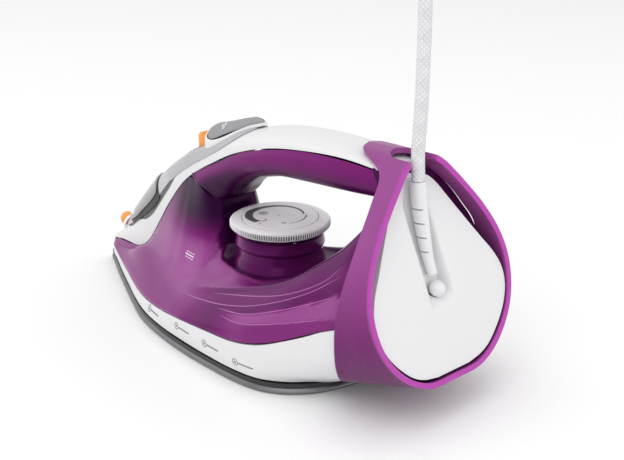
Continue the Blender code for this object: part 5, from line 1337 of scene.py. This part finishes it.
def build_controls(tree):
    """Control panel, slider, button pod and the two keys, over the cover's surface."""
    stations = [(78.0, 10.2), (74.0, 11.6), (66.0, 12.1), (56.0, 12.6), (46.0, 13.0), (32.0, 13.5),
                (16.0, 13.4), (6.0, 11.6), (0.0, 8.0), (-3.0, 4.0)]
    panel = on_cover("control_strip", stations, "pale_plastic", 0.25, 1.0, edge=1.6,
                     replaces=["control_panel"], finish="strip_plastic")
    well = [(x, y) for x, y in key_outline(0.7) if x > -2.0 and y > 0.01]
    well = sorted(well, reverse=True)
    loop = [(well[0][0] + 1.0, 0)] + well + [(well[-1][0] - 0.8, 0)]
    loop += [(x, -y) for x, y in reversed(well)]
    carve(panel, [box_shape((43.9, -2.6, 90), (61.0, 2.6, 120)),
                  loops_shape([[(x, y, z) for x, y in loop] for z in (90, 132)])])

    rails = on_cover("slider_slot", [(60.4, 2.9), (59.4, 3.5), (54.0, 3.9), (45.0, 3.6)],
                     "black_plastic", 0.9, 1.15)
    carve(rails, [box_shape((43.0, -2.6, 90), (62.0, 2.6, 120))])

    def floor_z(x, y):
        place = tree.ray_cast(Vector((x, y, 200)) * MM, Vector((0, 0, -1)))[0]
        return place.z / MM + 1.2

    outer, inner = key_outline(-0.9), key_outline(0.4)
    base = [floor_z(x, y) for x, y in outer]
    loops = [[(x, y, z) for (x, y), z in zip(outer, base)]]
    for margin, drop in ((-0.9, 1.7), (-0.85, 1.35), (-0.65, 1.1), (-0.3, 1.0), (0.1, 1.05),
                         (0.33, 1.2), (0.4, 1.6)):
        loops.append([(x, y, key_z(x, y) - drop) for x, y in key_outline(margin)])
    loops.append([(x, y, floor_z(x, y)) for x, y in inner])
    piece("pod_shell", loops_shape(loops, ring=True), "white_plastic",
          replaces=["button_pod"])

    for name, node, side, body in (("left_key", "spray_key", 1, "spray_button"),
                                   ("right_key", "burst_key", -1, "burst_button")):
        loops = []
        for margin, rise in ((1.2, -3.0), (1.2, -0.7), (1.3, -0.25), (1.6, 0.1), (2.1, 0.45),
                             (2.9, 0.8), (4.0, 1.15), (5.4, 1.5), (7.0, 1.8), (8.2, 1.95)):
            edge = sorted([p for p in key_outline(margin) if p[1] * side > -0.001],
                          key=lambda p: -p[0])
            loop = []
            for x, y in edge:
                lowest = floor_z(x, y) + 0.5 + math.radians(4) * (x + 5.5)
                loop.append((x, (abs(y) + 0.2) * side, max(key_z(x, y) + rise, lowest)))
            split = [(x, 0.2 * side, z) for x, y, z in loop[-2:0:-1]]
            loops.append(loop + split)
        key = piece(name, loops_shape(loops), "grey_plastic", body, [node])
        top = surface_of(key)
        rays = []
        for k in range(5):
            angle = math.radians(180 - 50 + 25 * k) if side > 0 else math.radians(72 * k)
            u, v = math.cos(angle), math.sin(angle)
            rays.append(bar(1.5 * u, 1.5 * v, 3.0 * u, 3.0 * v, 0.6, 3))
        rays.append(arc((0, 0), 0.4, 0, 360, 0.6, count=16))
        printed(name + "_mark", top, (25.0, 4.8 * side, key_z(25.0)), (0.94, 0, -0.34),
                (0, 1, 0), rays, "white_plastic", "print_white", body, 0.05)

    loops = []
    for rise, shrink in ((0.0, 0.0), (10.6, 0.0), (11.6, 0.25), (12.2, 0.7), (12.4, 1.3)):
        loop = []
        for k in range(32):
            angle = 2 * math.pi * k / 32
            u = math.copysign(abs(math.cos(angle)) ** 0.45, math.cos(angle))
            v = math.copysign(abs(math.sin(angle)) ** 0.45, math.sin(angle))
            x = 48.7 + (3.7 - shrink) * u
            loop.append((x, (2.0 - min(shrink, 1.0)) * v, 98.6 + rise - 0.36 * (x - 45.0)))
        loops.append(loop)
    slider = piece("slider_tab", loops_shape(loops), "orange_plastic", "slider",
                   ["steam_slider"])
    carve(slider, [box_shape((x, -3, 109.0), (x + 0.5, 3, 113.0)) for x in (46.4, 48.2, 50.0)])


# ---------------------------------------------------------------- all together

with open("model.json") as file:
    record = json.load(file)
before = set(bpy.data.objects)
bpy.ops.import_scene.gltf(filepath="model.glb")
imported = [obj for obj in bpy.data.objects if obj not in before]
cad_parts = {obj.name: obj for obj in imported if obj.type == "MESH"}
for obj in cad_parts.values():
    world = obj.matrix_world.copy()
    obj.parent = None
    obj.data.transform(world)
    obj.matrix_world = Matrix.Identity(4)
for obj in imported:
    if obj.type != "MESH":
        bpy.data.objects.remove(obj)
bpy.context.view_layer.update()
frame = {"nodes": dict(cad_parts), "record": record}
FINISHES = make_finishes()
for row in frame["record"]["subparts"]:
    node = frame["nodes"][row["node"]]
    node.data.materials.clear()
    node.data.materials.append(FINISHES[row["material_slot"]])
COVER_TABLE = spline([[*seam, *crest] for seam, crest in COVER_LINES], ACROSS)
FLANK = [spline(line, 10) for line in FLANK_LINES]
NOZZLE = (131.4, 0.0, 32.2)

build_stage()
build_cord()
build_sole()
build_skirt()
build_tank()
cover_tree = build_handle()
build_ring()
build_rear_cover()
build_dial()
build_nose()
build_controls(cover_tree)
